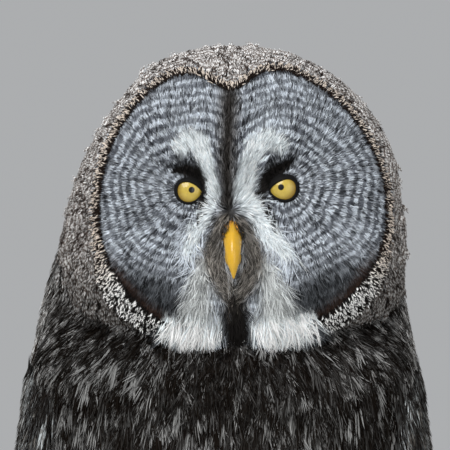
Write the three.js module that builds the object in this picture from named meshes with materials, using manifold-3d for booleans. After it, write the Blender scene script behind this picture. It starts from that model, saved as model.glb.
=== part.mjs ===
// A great grey owl at life size, standing upright and looking ahead, as closed solids in millimetres.
// +Z is up, the bill points along -Y and the owl's left side is at +X. The feet stand on z = 0.
import * as THREE from 'three';
import { mergeVertices } from 'three/addons/utils/BufferGeometryUtils.js';
import Module from 'manifold-3d';

const wasm = await Module();
wasm.setup();

const DEG = Math.PI / 180;
const GAP = 0.3; // left between neighbouring pieces
const REACH = 700; // larger than the owl, for the blocks that cut it

// Driving dimensions. The head's sizes are in the head's own frame, centred below the eye line.
const EYE_LINE = 485;
const HEAD = {
  x: 5, y: -14, below: 12, roll: 1.5 * DEG,
  side: 90.5, crown: 92, chin: 90, front: 64, back: 85, rimPower: 2.6, facePower: 2.2, backPower: 2.05,
  flare: 17, flareAt: -31 * DEG, flareWidth: 24 * DEG,
};
const DISC = {
  left: 85, right: 74, crown: 84, chin: 71,
  notch: 17, notchWidth: 12 * DEG, rimRise: 3, rimWidth: 0.06,
  dishDepth: 11, dishSpread: 30, ridge: 10, ridgeWidth: 9,
  cheek: 8, cheekX: 26, cheekZ: -56, cheekSpread: 17,
};
const EYE = { radius: 11, left: 28, right: -23.5, z: 12, y: -43.5, lidWidth: 10.6, lidHeight: 9.2 };
const LID = { innerWidth: 7.6, innerHeight: 6.2, proud: 1.5 };
const BODY_LINE = [ // centre of the body from the vent up into the head: y, z
  [134, 122], [121, 138], [92, 174], [54, 236], [22, 306], [4, 372], [-8, 428], [-14, 480],
];
const BODY_GIRTH = [ // half width, depth in front, depth behind, at the same places
  [14, 14, 8], [50, 48, 26], [82, 78, 42], [97, 91, 58], [101, 96, 74], [106, 78, 82], [97, 42, 80], [80, 34, 72],
];
const NECK_CUT = { top: 389, bottom: 351, slope: 0.31, y: -75 }; // height of each cut at the throat
const MANTLE_LINE = [ // centre of the mantle that the folded wings lie on, from shoulder to wing tips: y, z
  [-6, 392], [6, 338], [34, 274], [82, 200], [162, 124], [288, 52],
];
const MANTLE_GIRTH = [ // half width, depth behind, tilt of the back, at the same places
  [103, 72, 10], [111, 87, 18], [110, 85, 27], [90, 64, 38], [56, 42, 50], [31, 16, 62],
];
const WING_EDGES = [ // lower and upper edge of the wing's base, in degrees up from its side
  [-16, 40], [-26, 60], [-22, 74], [-10, 80], [4, 82],
];
const TAIL = { y: 120, z: 140, drop: 26 * DEG, length: 288, pairs: 6, halfWidth: 16, splay: 1.1 * DEG, step: 1.9 };
const LEG = { x: 44, hip: [46, 150], ankle: [52, 88], heel: [26, 26] };
const LEG_CUTS = { ankle: 80, heel: 36 };
const TOES = [ // name, direction from straight ahead towards the owl's outer side, length, radius
  { name: 'inner', turn: -20, length: 36, radius: 9.5 },
  { name: 'middle', turn: 16, length: 41, radius: 10 },
  { name: 'outer', turn: 100, length: 34, radius: 9.5 },
  { name: 'hind', turn: 194, length: 27, radius: 9.5 },
];
const CLAW = { length: 21, rise: 7, radius: 3.8 };

const vec = (x, y, z) => new THREE.Vector3(x, y, z);
const mix = (a, b, t) => a + (b - a) * t;
const bell = (u) => Math.exp(-u * u);
const ramp = (a, b, x) => THREE.MathUtils.smoothstep(x, a, b);
const rounded = (v, power) => Math.sign(v) * Math.abs(v) ** (2 / power);

// Turns points and triangles into a solid with its faces outwards.
function solidFrom(points, faces) {
  const vertProperties = new Float32Array(points.flatMap((p) => p.toArray()));
  const make = (triangles) => new wasm.Manifold(new wasm.Mesh({
    numProp: 3, vertProperties, triVerts: new Uint32Array(triangles.flat()),
  }));
  const made = make(faces);
  return made.volume() < 0 ? make(faces.map(([a, b, c]) => [a, c, b])) : made;
}

function solidOf(geometry) {
  geometry.deleteAttribute('normal');
  geometry.deleteAttribute('uv');
  const merged = mergeVertices(geometry);
  return new wasm.Manifold(new wasm.Mesh({
    numProp: 3,
    vertProperties: new Float32Array(merged.attributes.position.array),
    triVerts: new Uint32Array(merged.index.array),
  }));
}

// Skins a row of rings. A ring of one point is a pole, and an open end is closed with a fan.
function loft(rings) {
  const points = rings.flat();
  const starts = rings.map((_, i) => rings.slice(0, i).reduce((n, ring) => n + ring.length, 0));
  const faces = [];
  for (let i = 0; i + 1 < rings.length; i += 1) {
    const [a, b] = [starts[i], starts[i + 1]];
    const count = Math.max(rings[i].length, rings[i + 1].length);
    for (let j = 0; j < count; j += 1) {
      const k = (j + 1) % count;
      if (rings[i].length === 1) faces.push([a, b + k, b + j]);
      else if (rings[i + 1].length === 1) faces.push([a + j, a + k, b]);
      else faces.push([a + j, a + k, b + k], [a + j, b + k, b + j]);
    }
  }
  closeEnd(points, faces, rings[0], starts[0], true);
  closeEnd(points, faces, rings.at(-1), starts.at(-1), false);
  return solidFrom(points, faces);
}

function closeEnd(points, faces, ring, start, first) {
  if (ring.length === 1) return;
  const middle = ring.reduce((sum, p) => sum.add(p), vec(0, 0, 0)).divideScalar(ring.length);
  points.push(middle);
  for (let j = 0; j < ring.length; j += 1) {
    const k = (j + 1) % ring.length;
    faces.push(first ? [start + k, start + j, points.length - 1] : [start + j, start + k, points.length - 1]);
  }
}

// A flat vane of even thickness. place(t, side, lift) sets it on its surface, and both faces are
// split into triangles alike. profile lists [t, share of the half width].
function vane(place, profile, halfWidth, thickness) {
  const points = profile.flatMap(([t, share]) => {
    const w = halfWidth * share;
    const h = thickness / 2;
    return [place(t, -w, h), place(t, w, h), place(t, w, -h), place(t, -w, -h)];
  });
  const faces = [[0, 1, 2], [0, 2, 3]];
  for (let i = 0; i + 1 < profile.length; i += 1) {
    const [a, b] = [4 * i, 4 * i + 4];
    faces.push([a, b + 1, a + 1], [a, b, b + 1]);
    faces.push([a + 3, a + 2, b + 2], [a + 3, b + 2, b + 3]);
    faces.push([a + 1, b + 1, b + 2], [a + 1, b + 2, a + 2]);
    faces.push([a, b + 3, b], [a, a + 3, b + 3]);
  }
  const z = 4 * (profile.length - 1);
  faces.push([z, z + 2, z + 1], [z, z + 3, z + 2]);
  return solidFrom(points, faces);
}

// A tapered lock with a ridge on each face, which ends in a point.
function lock(place, profile, halfWidth, thickness) {
  const points = profile.flatMap(([t, share]) => {
    const w = halfWidth * share;
    const h = (thickness / 2) * Math.sqrt(share);
    return [place(t, -w, 0), place(t, 0, h), place(t, w, 0), place(t, 0, -h)];
  });
  const faces = [[0, 1, 2], [0, 2, 3]];
  for (let i = 0; i + 1 < profile.length; i += 1) {
    const [a, b] = [4 * i, 4 * i + 4];
    faces.push([a, b + 1, a + 1], [a, b, b + 1]);
    faces.push([a + 1, b + 2, a + 2], [a + 1, b + 1, b + 2]);
    faces.push([a + 3, a + 2, b + 2], [a + 3, b + 2, b + 3]);
    faces.push([a, b + 3, b], [a, a + 3, b + 3]);
  }
  points.push(place(1, 0, 0));
  const z = 4 * (profile.length - 1);
  for (let j = 0; j < 4; j += 1) faces.push([z + ((j + 1) % 4), z + j, points.length - 1]);
  return solidFrom(points, faces);
}
const LOCK_PROFILE = [[0, 0.8], [0.4, 1], [0.78, 0.62]];
const TUFT_PROFILE = [[0, 0.9], [0.6, 0.95]];
const FLIGHT_PROFILE = [[0, 0.6], [0.35, 1], [0.8, 0.95], [1, 0.3]];
const COVERT_PROFILE = [[0, 0.8], [0.6, 1], [1, 0.35]];

const fuse = (solids) => wasm.Manifold.union(solids);

// The largest closed surface of a solid, which drops loose scraps and sealed hollows.
const largest = (solid) => solid.decompose().reduce((a, b) => (b.volume() > a.volume() ? b : a));

const ball = (radius) => solidOf(new THREE.SphereGeometry(radius, 16, 9));

// Everything above (or below) a plane that slopes upwards to the back, as a large block.
function half(above, height, slope, throatY) {
  const block = new THREE.BoxGeometry(2 * REACH, 2 * REACH, 2 * REACH);
  block.translate(0, 0, above ? REACH : -REACH);
  block.rotateX(Math.atan(slope));
  return solidOf(block.translate(0, throatY, height));
}

// Head. phi goes round the face from the owl's left, over the crown, as seen from the front.
function roundFace(phi, side, top, bottom) {
  const rise = Math.sin(phi);
  return side + ((rise > 0 ? top : bottom) - side) * rise * rise;
}
function headOutline(phi) { // wider over the cheeks, at the same place on both sides
  const up = Math.asin(Math.sin(phi));
  return roundFace(phi, HEAD.side, HEAD.crown, HEAD.chin) + HEAD.flare * bell((up - HEAD.flareAt) / HEAD.flareWidth);
}

function discRim(phi) {
  const side = Math.cos(phi) > 0 ? DISC.left : DISC.right;
  const fromTop = Math.atan2(Math.cos(phi), Math.sin(phi));
  return roundFace(phi, side, DISC.crown, DISC.chin) - DISC.notch * bell(fromTop / DISC.notchWidth);
}

// The face: a dish round each eye, a ridge from brow to chin between them, and full cheeks below.
function faceDepth(x, z) {
  const share = Math.min(1, Math.hypot(x, z) / headOutline(Math.atan2(z, x)));
  let y = -HEAD.front * (1 - share ** HEAD.rimPower) ** (1 / HEAD.facePower);
  for (const eyeX of [EYE.left, EYE.right]) {
    y += DISC.dishDepth * bell(Math.hypot(x - eyeX, z - EYE.z) / DISC.dishSpread);
  }
  y -= DISC.ridge * bell(x / DISC.ridgeWidth) * ramp(-62, -30, z) * (1 - ramp(25, 52, z));
  for (const side of [-1, 1]) {
    y -= DISC.cheek * bell(Math.hypot(x - side * DISC.cheekX, z - DISC.cheekZ) / DISC.cheekSpread);
  }
  return y;
}

// A point of the head: u runs 0 to 1 over the face, and 1 to 2 from the rim to the back of the head.
function headPoint(phi, u, lift = 0) {
  const rim = discRim(phi);
  const outline = headOutline(phi);
  const start = Math.asin((rim / outline) ** (HEAD.rimPower / 2));
  const swing = mix(start, Math.PI, Math.max(0, u - 1));
  const ahead = swing < Math.PI / 2;
  const reach = u <= 1 ? rim * u : outline * Math.sin(swing) ** (2 / (ahead ? HEAD.rimPower : HEAD.backPower));
  const [x, z] = [reach * Math.cos(phi), reach * Math.sin(phi)];
  const y = ahead ? faceDepth(x, z) : -HEAD.back * rounded(Math.cos(swing), HEAD.backPower);
  const rise = ahead ? DISC.rimRise * bell((reach / rim - 1) / DISC.rimWidth) : 0;
  const p = vec(x, y - rise, z);
  return p.addScaledVector(p.clone().normalize(), lift);
}

function headShell() {
  const columns = 40;
  const steps = [0.17, 0.33, 0.48, 0.62, 0.76, 0.89, 1, 1.06, 1.15, 1.26, 1.39, 1.54, 1.7, 1.86];
  const rings = steps.map((u) => Array.from({ length: columns },
    (_, j) => headPoint((2 * Math.PI * j) / columns, u)));
  return loft([[headPoint(0, 0)], ...rings, [headPoint(0, 2)]]);
}

// The short stiff feathers that frame the disc, each rooted under the rim and pointing outwards.
function ruff() {
  const count = 30;
  return Array.from({ length: count }, (_, i) => {
    const phi = (2 * Math.PI * (i + 0.5)) / count;
    const longer = 1 + 0.12 * Math.sin(5 * phi);
    const place = (t, side, lift) => headPoint(
      phi + side / discRim(phi), mix(0.93, 1.045, t * longer), mix(-2.4, 2.2, Math.sqrt(t)) + lift);
    return lock(place, TUFT_PROFILE, 8, 1.9);
  });
}

// Loose tapered feathers of the white chin patches and the dark beard between them.
function chinLocks() {
  const tiers = [
    { from: 0.5, to: 0.86, rise: 2.8, half: 7.6, shift: 0 },
    { from: 0.7, to: 1.1, rise: 2.8, half: 8.2, shift: 0.5 },
  ];
  const spread = 58 * DEG;
  const across = 7;
  return tiers.flatMap(({ from, to, rise, half: halfWidth, shift }) => Array.from({ length: across }, (_, i) => {
    const off = ((i + 0.5 + shift) / across) * 2 - 1;
    const phi = -Math.PI / 2 + off * spread;
    const longer = 1 + 0.05 * Math.cos(9 * off);
    const place = (t, side, lift) => {
      const u = mix(from, to * longer, t);
      return headPoint(phi + side / (discRim(phi) * u), u, mix(-2.5, rise, Math.sqrt(t)) + lift);
    };
    return lock(place, LOCK_PROFILE, halfWidth, 1.8);
  }));
}

// A raised rim of skin round each eye. The eye's own hollow is cut out of it afterwards.
function lidRing(eyeX) {
  const columns = 16;
  const onBall = (x, z, radius) => vec(
    eyeX + x, EYE.y - Math.sqrt(Math.max(0, radius * radius - x * x - z * z)), EYE.z + z);
  const rings = Array.from({ length: columns }, (_, j) => {
    const turn = (2 * Math.PI * j) / columns;
    const [c, s] = [Math.cos(turn), Math.sin(turn)];
    const inner = [LID.innerWidth * c, LID.innerHeight * s];
    const outer = [EYE.lidWidth * c, EYE.lidHeight * s];
    return [
      onBall(...inner, EYE.radius - 1.5), onBall(...inner, EYE.radius + LID.proud),
      onBall(...outer, EYE.radius + LID.proud + 0.6), onBall(...outer, EYE.radius + LID.proud + 0.6).setY(EYE.y),
    ];
  });
  const points = rings.flat();
  const faces = [];
  rings.forEach((_, i) => {
    const [a, b] = [4 * i, 4 * ((i + 1) % columns)];
    for (let j = 0; j < 4; j += 1) {
      const k = (j + 1) % 4;
      faces.push([a + j, a + k, b + k], [a + j, b + k, b + j]);
    }
  });
  return solidFrom(points, faces);
}

// A horn that follows a bent line, from its base to its tip. sizes lists [t, half width, half height].
function horn(line, sizes, grow = 0) {
  const curve = new THREE.CubicBezierCurve3(...line.map((p) => vec(0, ...p)));
  const columns = 12;
  return loft(sizes.map(([t, wide, high]) => {
    const middle = curve.getPoint(t);
    const along = curve.getTangent(t);
    const up = vec(1, 0, 0).cross(along);
    return Array.from({ length: columns }, (_, j) => {
      const turn = (2 * Math.PI * j) / columns;
      return middle.clone()
        .addScaledVector(vec(1, 0, 0), (wide + grow) * Math.cos(turn))
        .addScaledVector(up, (high + grow) * Math.sin(turn));
    });
  }));
}
const UPPER_BILL = [[-44, -13], [-70, -8], [-86, -18], [-80, -37.5]];
const UPPER_SIZES = [[0, 6.4, 8.5], [0.25, 6, 7.8], [0.48, 5.4, 6.6], [0.68, 4.7, 5.2], [0.86, 3.1, 3.2], [1, 0.7, 0.7]];
const LOWER_BILL = [[-44, -22], [-60, -24], [-68, -26], [-75, -31]];
const LOWER_SIZES = [[0, 5.6, 5], [0.4, 5, 4.4], [0.75, 3.8, 3.2], [1, 1.6, 1.4]];

// Body. The line and its girths are smooth curves through the named places.
const bodyLine = new THREE.CatmullRomCurve3(BODY_LINE.map(([y, z]) => vec(0, y, z)), false, 'catmullrom', 0.5);
const bodyGirth = new THREE.CatmullRomCurve3(BODY_GIRTH.map((g) => vec(...g)), false, 'catmullrom', 0.5);

function bodyPoint(t, turn, grow = 0) {
  const girth = bodyGirth.getPoint(t);
  const along = bodyLine.getTangent(t);
  const ahead = vec(0, -along.z, along.y);
  const deep = Math.sin(turn) > 0 ? girth.y : girth.z;
  return bodyLine.getPoint(t)
    .add(vec((girth.x + grow) * rounded(Math.cos(turn), 2.15), 0, 0))
    .addScaledVector(ahead, (deep + grow) * rounded(Math.sin(turn), 2.15));
}

function bodyShell(grow = 0) {
  const columns = 32;
  const steps = [0, 0.05, 0.1, 0.17, 0.25, 0.34, 0.43, 0.52, 0.61, 0.7, 0.79, 0.88, 0.97];
  const rings = steps.map((t) => Array.from({ length: columns },
    (_, j) => bodyPoint(t, (2 * Math.PI * j) / columns, grow)));
  rings[0].forEach((p) => p.add(vec(0, grow, -grow)));
  return loft(rings);
}

// The mantle that the folded wings lie on. s runs from shoulder to wing tips, turn rises in degrees
// from the owl's side to the middle of its back, and h stands out from it.
const mantleLine = new THREE.CatmullRomCurve3(MANTLE_LINE.map(([y, z]) => vec(0, y, z)), false, 'catmullrom', 0.5);
const mantleGirth = new THREE.CatmullRomCurve3(MANTLE_GIRTH.map((g) => vec(...g)), false, 'catmullrom', 0.5);

function mantlePlacer(side) {
  return (s, turn, h) => {
    const girth = mantleGirth.getPoint(s);
    const back = vec(0, Math.cos(girth.z * DEG), Math.sin(girth.z * DEG));
    const [cos, sin] = [Math.cos(turn * DEG), Math.sin(turn * DEG)];
    const out = vec(side * cos * girth.y, 0, 0).addScaledVector(back, sin * girth.x).normalize();
    return mantleLine.getPoint(s).add(vec(side * girth.x * cos, 0, 0))
      .addScaledVector(back, girth.y * sin).addScaledVector(out, h);
  };
}

// Rows of the folded wing from the lowest to the uppermost. Roots and tips are [s, turn] at the first
// and last feather, heights are [root, tip], and tilt lets each feather lie over the one before it.
const WING_ROWS = [
  { count: 8, roots: [[0.36, -12], [0.4, 76]], tips: [[0.68, 4], [0.78, 76]], half: 10.5, heights: [-3, 1], tilt: 0.16 },
  { count: 8, roots: [[0.24, -18], [0.28, 72]], tips: [[0.47, -14], [0.56, 74]], half: 12, heights: [-2, 3], tilt: 0.16 },
  { count: 7, roots: [[0.12, -16], [0.16, 64]], tips: [[0.31, -20], [0.4, 68]], half: 13.5, heights: [-1, 5], tilt: 0.15 },
  { count: 6, roots: [[0.01, -8], [0.02, 42]], tips: [[0.17, -20], [0.25, 58]], half: 14, heights: [0, 6.5], tilt: 0.14 },
];
const PRIMARY_TIPS = [0.88, 0.94, 0.99, 1, 0.965, 0.92];

function wingPad(place) {
  const columns = 16;
  const edges = new THREE.CatmullRomCurve3(WING_EDGES.map(([low, high]) => vec(low, high, 0)));
  const stations = [[0, 0.01, -5, 1], [0.12, 0.07, -24, 3], [0.3, 0.17, -24, 3], [0.5, 0.29, -22, 1.5],
    [0.7, 0.41, -18, 0], [0.86, 0.52, -12, -2], [1, 0.62, -8, -4]]; // share of the edges, s, floor, top
  return loft(stations.map(([share, s, floor, top]) => {
    const edge = edges.getPoint(share);
    return Array.from({ length: columns }, (_, j) => {
      const angle = (2 * Math.PI * j) / columns;
      const turn = mix(edge.x, edge.y, 0.5 + 0.5 * rounded(Math.cos(angle), 4));
      return place(s, turn, mix(floor, top, 0.5 + 0.5 * rounded(Math.sin(angle), 4)));
    });
  }));
}

function wingFeather(placeOnMantle, { root, tip, half: halfWidth, heights, tilt }, profile) {
  const place = (t, side, lift) => {
    const s = mix(root[0], tip[0], t);
    const girth = mantleGirth.getPoint(s);
    const turn = mix(root[1], tip[1], t);
    const perDegree = DEG * Math.hypot(girth.x * Math.sin(turn * DEG), girth.y * Math.cos(turn * DEG));
    return placeOnMantle(s, turn + side / perDegree, mix(heights[0], heights[1], Math.min(1, 1.6 * t)) - tilt * side + lift);
  };
  return vane(place, profile, halfWidth, 0.9);
}

function wingFeathers(placeOnMantle) {
  const primaries = PRIMARY_TIPS.map((s, i) => wingFeather(placeOnMantle, {
    root: [0.45, 2 + 10 * i], tip: [s, 10 + 12 * i],
    half: 9, heights: [-9 + 1.3 * i, -7 + 1.3 * i], tilt: 0,
  }, FLIGHT_PROFILE));
  const rows = WING_ROWS.flatMap((row, r) => Array.from({ length: row.count }, (_, i) => {
    const share = i / (row.count - 1);
    const pair = ([a, b]) => [mix(a[0], b[0], share), mix(a[1], b[1], share)];
    return wingFeather(placeOnMantle, { ...row, root: pair(row.roots), tip: pair(row.tips) },
      r === 0 ? FLIGHT_PROFILE : COVERT_PROFILE);
  }));
  return [...primaries, ...rows];
}

// Tail. The middle pair lies on top, and each outer feather is lower and turned further out.
function tailFeathers() {
  const along = vec(0, Math.cos(TAIL.drop), -Math.sin(TAIL.drop));
  const up = vec(0, Math.sin(TAIL.drop), Math.cos(TAIL.drop));
  const feather = (side, order) => {
    const splay = side * TAIL.splay * (order + 0.5);
    const roll = side * 1.6 * DEG * (order + 0.5);
    const length = TAIL.length - 5 * order;
    return (t, across, lift) => {
      const run = length * t;
      const wide = side * (3 + 4.4 * order) + run * Math.sin(splay) + across * Math.cos(roll);
      const high = -TAIL.step * (order + (side < 0 ? 0.5 : 0)) - across * Math.sin(roll) - 9 * t * (1 - t) + lift;
      return vec(wide, TAIL.y, TAIL.z).addScaledVector(along, run * Math.cos(splay)).addScaledVector(up, high);
    };
  };
  return [-1, 1].flatMap((side) => Array.from({ length: TAIL.pairs },
    (_, i) => vane(feather(side, i), FLIGHT_PROFILE, TAIL.halfWidth, 0.8)));
}

// Loose coverts over the tail's base, above and below it.
function tailCoverts() {
  const along = vec(0, Math.cos(TAIL.drop), -Math.sin(TAIL.drop));
  const up = vec(0, Math.sin(TAIL.drop), Math.cos(TAIL.drop));
  return [-1, 1].flatMap((face) => Array.from({ length: 5 }, (_, i) => {
    const off = i / 2 - 1;
    const length = 92 - 26 * off * off;
    return lock((t, across, lift) => vec(off * mix(20, 32, t) + across, TAIL.y, TAIL.z)
      .addScaledVector(along, length * t - 8)
      .addScaledVector(up, face * mix(7, 5, t) - 4 - 3.5 * off * off + lift), LOCK_PROFILE, 9, 2.2);
  }));
}

function tailRoot() {
  const along = vec(0, Math.cos(TAIL.drop), -Math.sin(TAIL.drop));
  const up = vec(0, Math.sin(TAIL.drop), Math.cos(TAIL.drop));
  const columns = 16;
  return loft([[-26, 30, 17], [-4, 33, 16], [20, 30, 10], [44, 24, 4]].map(([run, wide, high]) => Array.from(
    { length: columns }, (_, j) => {
      const turn = (2 * Math.PI * j) / columns;
      return vec(wide * Math.cos(turn), TAIL.y, TAIL.z)
        .addScaledVector(along, run).addScaledVector(up, high * Math.sin(turn) - 4);
    })));
}

// Leg. Built on the left at x = LEG.x, with mirror turning it into the right one.
function tubeAlong(line, radii, columns = 12) {
  return loft(line.map((p, i) => {
    const along = (line[i + 1] ?? p).clone().sub(line[i - 1] ?? p).normalize();
    const aside = Math.abs(along.x) > 0.9 ? vec(0, 1, 0) : vec(1, 0, 0);
    const e1 = aside.clone().addScaledVector(along, -aside.dot(along)).normalize();
    const e2 = along.clone().cross(e1);
    const [a, b] = [].concat(radii[i], radii[i]);
    return Array.from({ length: columns }, (_, j) => {
      const turn = (2 * Math.PI * (j + 0.5)) / columns;
      return p.clone().addScaledVector(e1, a * Math.cos(turn)).addScaledVector(e2, b * Math.sin(turn));
    });
  }));
}
const legLine = (share) => {
  const [a, b] = [LEG.hip, LEG.ankle];
  return vec(LEG.x, mix(a[0], b[0], share), mix(a[1], b[1], share));
};

function legCore() {
  const thigh = tubeAlong([-0.5, 0, 0.4, 0.75, 1.15].map(legLine), [22, 33, 33, 25, 15].map((r) => [r, r * 1.12]));
  const shank = tubeAlong(
    [[LEG.ankle[0] - 1, 94], [49, 72], [40, 52], [LEG.heel[0] + 1, 30], [LEG.heel[0] - 4, 14]].map((p) => vec(LEG.x, ...p)),
    [17, 17.5, 16, 15, 14]);
  return fuse([thigh, shank]);
}

// Shaggy feathers in rings round the thigh, hanging downwards.
function thighLocks() {
  const rings = [{ at: 0.15, count: 8, length: 40 }, { at: 0.55, count: 7, length: 32 }];
  return rings.flatMap(({ at, count, length }, r) => Array.from({ length: count }, (_, i) => {
    const turn = (2 * Math.PI * (i + 0.5 * r)) / count;
    const start = legLine(at);
    const wide = mix(34, 26, at);
    return lock((t, across, lift) => {
      const radius = wide + mix(-2, 3.5, Math.sqrt(t)) - 15 * t * (0.3 + at) + lift;
      const angle = turn + across / radius;
      return start.clone().add(vec(radius * Math.cos(angle), 1.1 * radius * Math.sin(angle) + 2 * t, -length * t));
    }, TUFT_PROFILE, 11, 3);
  }));
}

function toeLine(toe, shares) {
  const turn = toe.turn * DEG;
  return shares.map((share) => {
    const run = toe.length * share;
    return vec(LEG.x + run * Math.sin(turn), LEG.heel[0] - 8 - run * Math.cos(turn), toe.radius * 0.84 - 1.5 * share);
  });
}

function toeSolid(toe) {
  const shares = [-0.1, 0.3, 0.75, 1.02];
  const swell = [1, 1, 0.95, 0.45];
  return tubeAlong(toeLine(toe, shares), swell.map((k) => k * toe.radius), 8);
}

function clawSolid(toe, grow = 0) {
  const turn = toe.turn * DEG;
  const [start] = toeLine(toe, [0.86]);
  const ahead = vec(Math.sin(turn), -Math.cos(turn), 0);
  const aside = vec(Math.cos(turn), Math.sin(turn), 0);
  const arc = [[-0.1, 0], [0.25, 0.75], [0.6, 0.85], [0.85, 0.3], [1, -0.55]];
  const columns = 6;
  return loft([0, 0.25, 0.5, 0.75, 1].map((t) => {
    const curve = new THREE.CatmullRomCurve3(arc.map(([a, b]) => vec(a * CLAW.length, b * CLAW.rise, 0)));
    const p = curve.getPoint(t);
    const along = curve.getTangent(t);
    const radius = mix(CLAW.radius, 0.5, t ** 1.4) + grow;
    return Array.from({ length: columns }, (_, j) => {
      const angle = (2 * Math.PI * j) / columns;
      return start.clone()
        .addScaledVector(ahead, p.x - along.y * radius * Math.sin(angle))
        .addScaledVector(aside, radius * 0.85 * Math.cos(angle))
        .add(vec(0, 0, p.y + along.x * radius * Math.sin(angle)));
    });
  }));
}

// Materials, by what each surface is.
const finish = (color, roughness) => new THREE.MeshStandardMaterial({ color, roughness, metalness: 0 });
const FINISHES = {
  plumage: finish(0x8a8c8e, 0.9), flight: finish(0x57524d, 0.8), leg: finish(0x9b958c, 0.95),
  iris: finish(0xe6bf3c, 0.15), bill: finish(0xe2b53a, 0.4), claw: finish(0x2b2825, 0.35),
};

const owl = new THREE.Group();
function addNode(name, solid, material) {
  const mesh = largest(solid).getMesh();
  const geometry = new THREE.BufferGeometry();
  geometry.setAttribute('position', new THREE.BufferAttribute(new Float32Array(mesh.vertProperties), 3));
  geometry.setIndex(new THREE.BufferAttribute(new Uint32Array(mesh.triVerts), 1));
  const node = new THREE.Mesh(geometry, material);
  node.name = name;
  owl.add(node);
}

// Puts a solid made in the head's frame in its place on the body.
const headMatrix = new THREE.Matrix4().makeRotationY(-HEAD.roll)
  .setPosition(HEAD.x, HEAD.y, EYE_LINE - HEAD.below);
const onHead = (solid) => solid.transform(headMatrix.elements);
const mirror = (solid, side) => (side > 0 ? solid : solid.mirror([1, 0, 0]));

function buildHeadAndBody() {
  const eyes = { left: EYE.left, right: EYE.right };
  const upper = horn(UPPER_BILL, UPPER_SIZES);
  const upperRoom = horn(UPPER_BILL, UPPER_SIZES, GAP);
  const lower = horn(LOWER_BILL, LOWER_SIZES).subtract(upperRoom);
  const lowerRoom = horn(LOWER_BILL, LOWER_SIZES, GAP);
  let head = fuse([headShell(), ...ruff(), ...chinLocks(), ...Object.values(eyes).map(lidRing)]);
  for (const eyeX of Object.values(eyes)) {
    head = head.subtract(ball(EYE.radius + GAP).translate([eyeX, EYE.y, EYE.z]));
  }
  head = onHead(head.subtract(upperRoom).subtract(lowerRoom));
  const whole = fuse([head, bodyShell().subtract(onHead(fuse([upperRoom, lowerRoom])))]);
  const cut = (above, height) => half(above, height, NECK_CUT.slope, NECK_CUT.y);
  addNode('head', whole.intersect(cut(true, NECK_CUT.top + GAP / 2)), FINISHES.plumage);
  addNode('neck', whole.intersect(cut(false, NECK_CUT.top - GAP / 2))
    .intersect(cut(true, NECK_CUT.bottom + GAP / 2)), FINISHES.plumage);
  addNode('torso', whole.intersect(cut(false, NECK_CUT.bottom - GAP / 2)), FINISHES.plumage);
  addNode('bill_upper', onHead(upper), FINISHES.bill);
  addNode('bill_lower', onHead(lower), FINISHES.bill);
  for (const [name, eyeX] of Object.entries(eyes)) {
    addNode(`eye_${name}`, onHead(ball(EYE.radius).translate([eyeX, EYE.y, EYE.z])), FINISHES.iris);
  }
}

function buildWingsAndTail(bodyRoom) {
  for (const [name, side] of [['left', 1], ['right', -1]]) {
    const place = mantlePlacer(side);
    const wing = fuse([wingPad(place), ...wingFeathers(place)]).subtract(bodyRoom);
    addNode(`wing_${name}`, wing, FINISHES.flight);
  }
  addNode('tail', fuse([tailRoot(), ...tailFeathers(), ...tailCoverts()]).subtract(bodyRoom), FINISHES.flight);
}

function buildLegs(bodyRoom) {
  for (const [name, side] of [['left', 1], ['right', -1]]) {
    const leg = fuse([legCore(), ...thighLocks(), ...TOES.map(toeSolid)]);
    const clawRoom = fuse(TOES.map((toe) => clawSolid(toe, GAP)));
    const level = (above, height) => half(above, height, 0, 0);
    const parts = {
      thigh: leg.intersect(level(true, LEG_CUTS.ankle + GAP / 2)).subtract(bodyRoom),
      shank: leg.intersect(level(false, LEG_CUTS.ankle - GAP / 2)).intersect(level(true, LEG_CUTS.heel + GAP / 2)),
      foot: leg.intersect(level(false, LEG_CUTS.heel - GAP / 2)).intersect(level(true, 0)).subtract(clawRoom),
    };
    for (const [part, solid] of Object.entries(parts)) addNode(`${part}_${name}`, mirror(solid, side), FINISHES.leg);
    for (const toe of TOES) {
      addNode(`claw_${name}_${toe.name}`, mirror(clawSolid(toe).intersect(level(true, 0)), side), FINISHES.claw);
    }
  }
}

const bodyRoom = bodyShell(1.5 * GAP);
buildHeadAndBody();
buildWingsAndTail(bodyRoom);
buildLegs(bodyRoom);

// The frame's origin is on the floor, in the middle of the owl's length and width.
const reach = new THREE.Box3().setFromObject(owl);
const middle = reach.getCenter(vec(0, 0, 0));
owl.position.set(-middle.x, -middle.y, 0);

export default owl;
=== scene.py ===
"""The looks of a great grey owl that stands upright and looks ahead.

Shapes are worked out in millimetres in the solids' own frame, where the feet stand on z = 0, the bill points
along -Y and the owl's left is at +X. to_row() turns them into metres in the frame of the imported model.
Feathers are closed blades and vanes of mesh. Skin and coat take their colours from the same functions.
"""
import math

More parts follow.
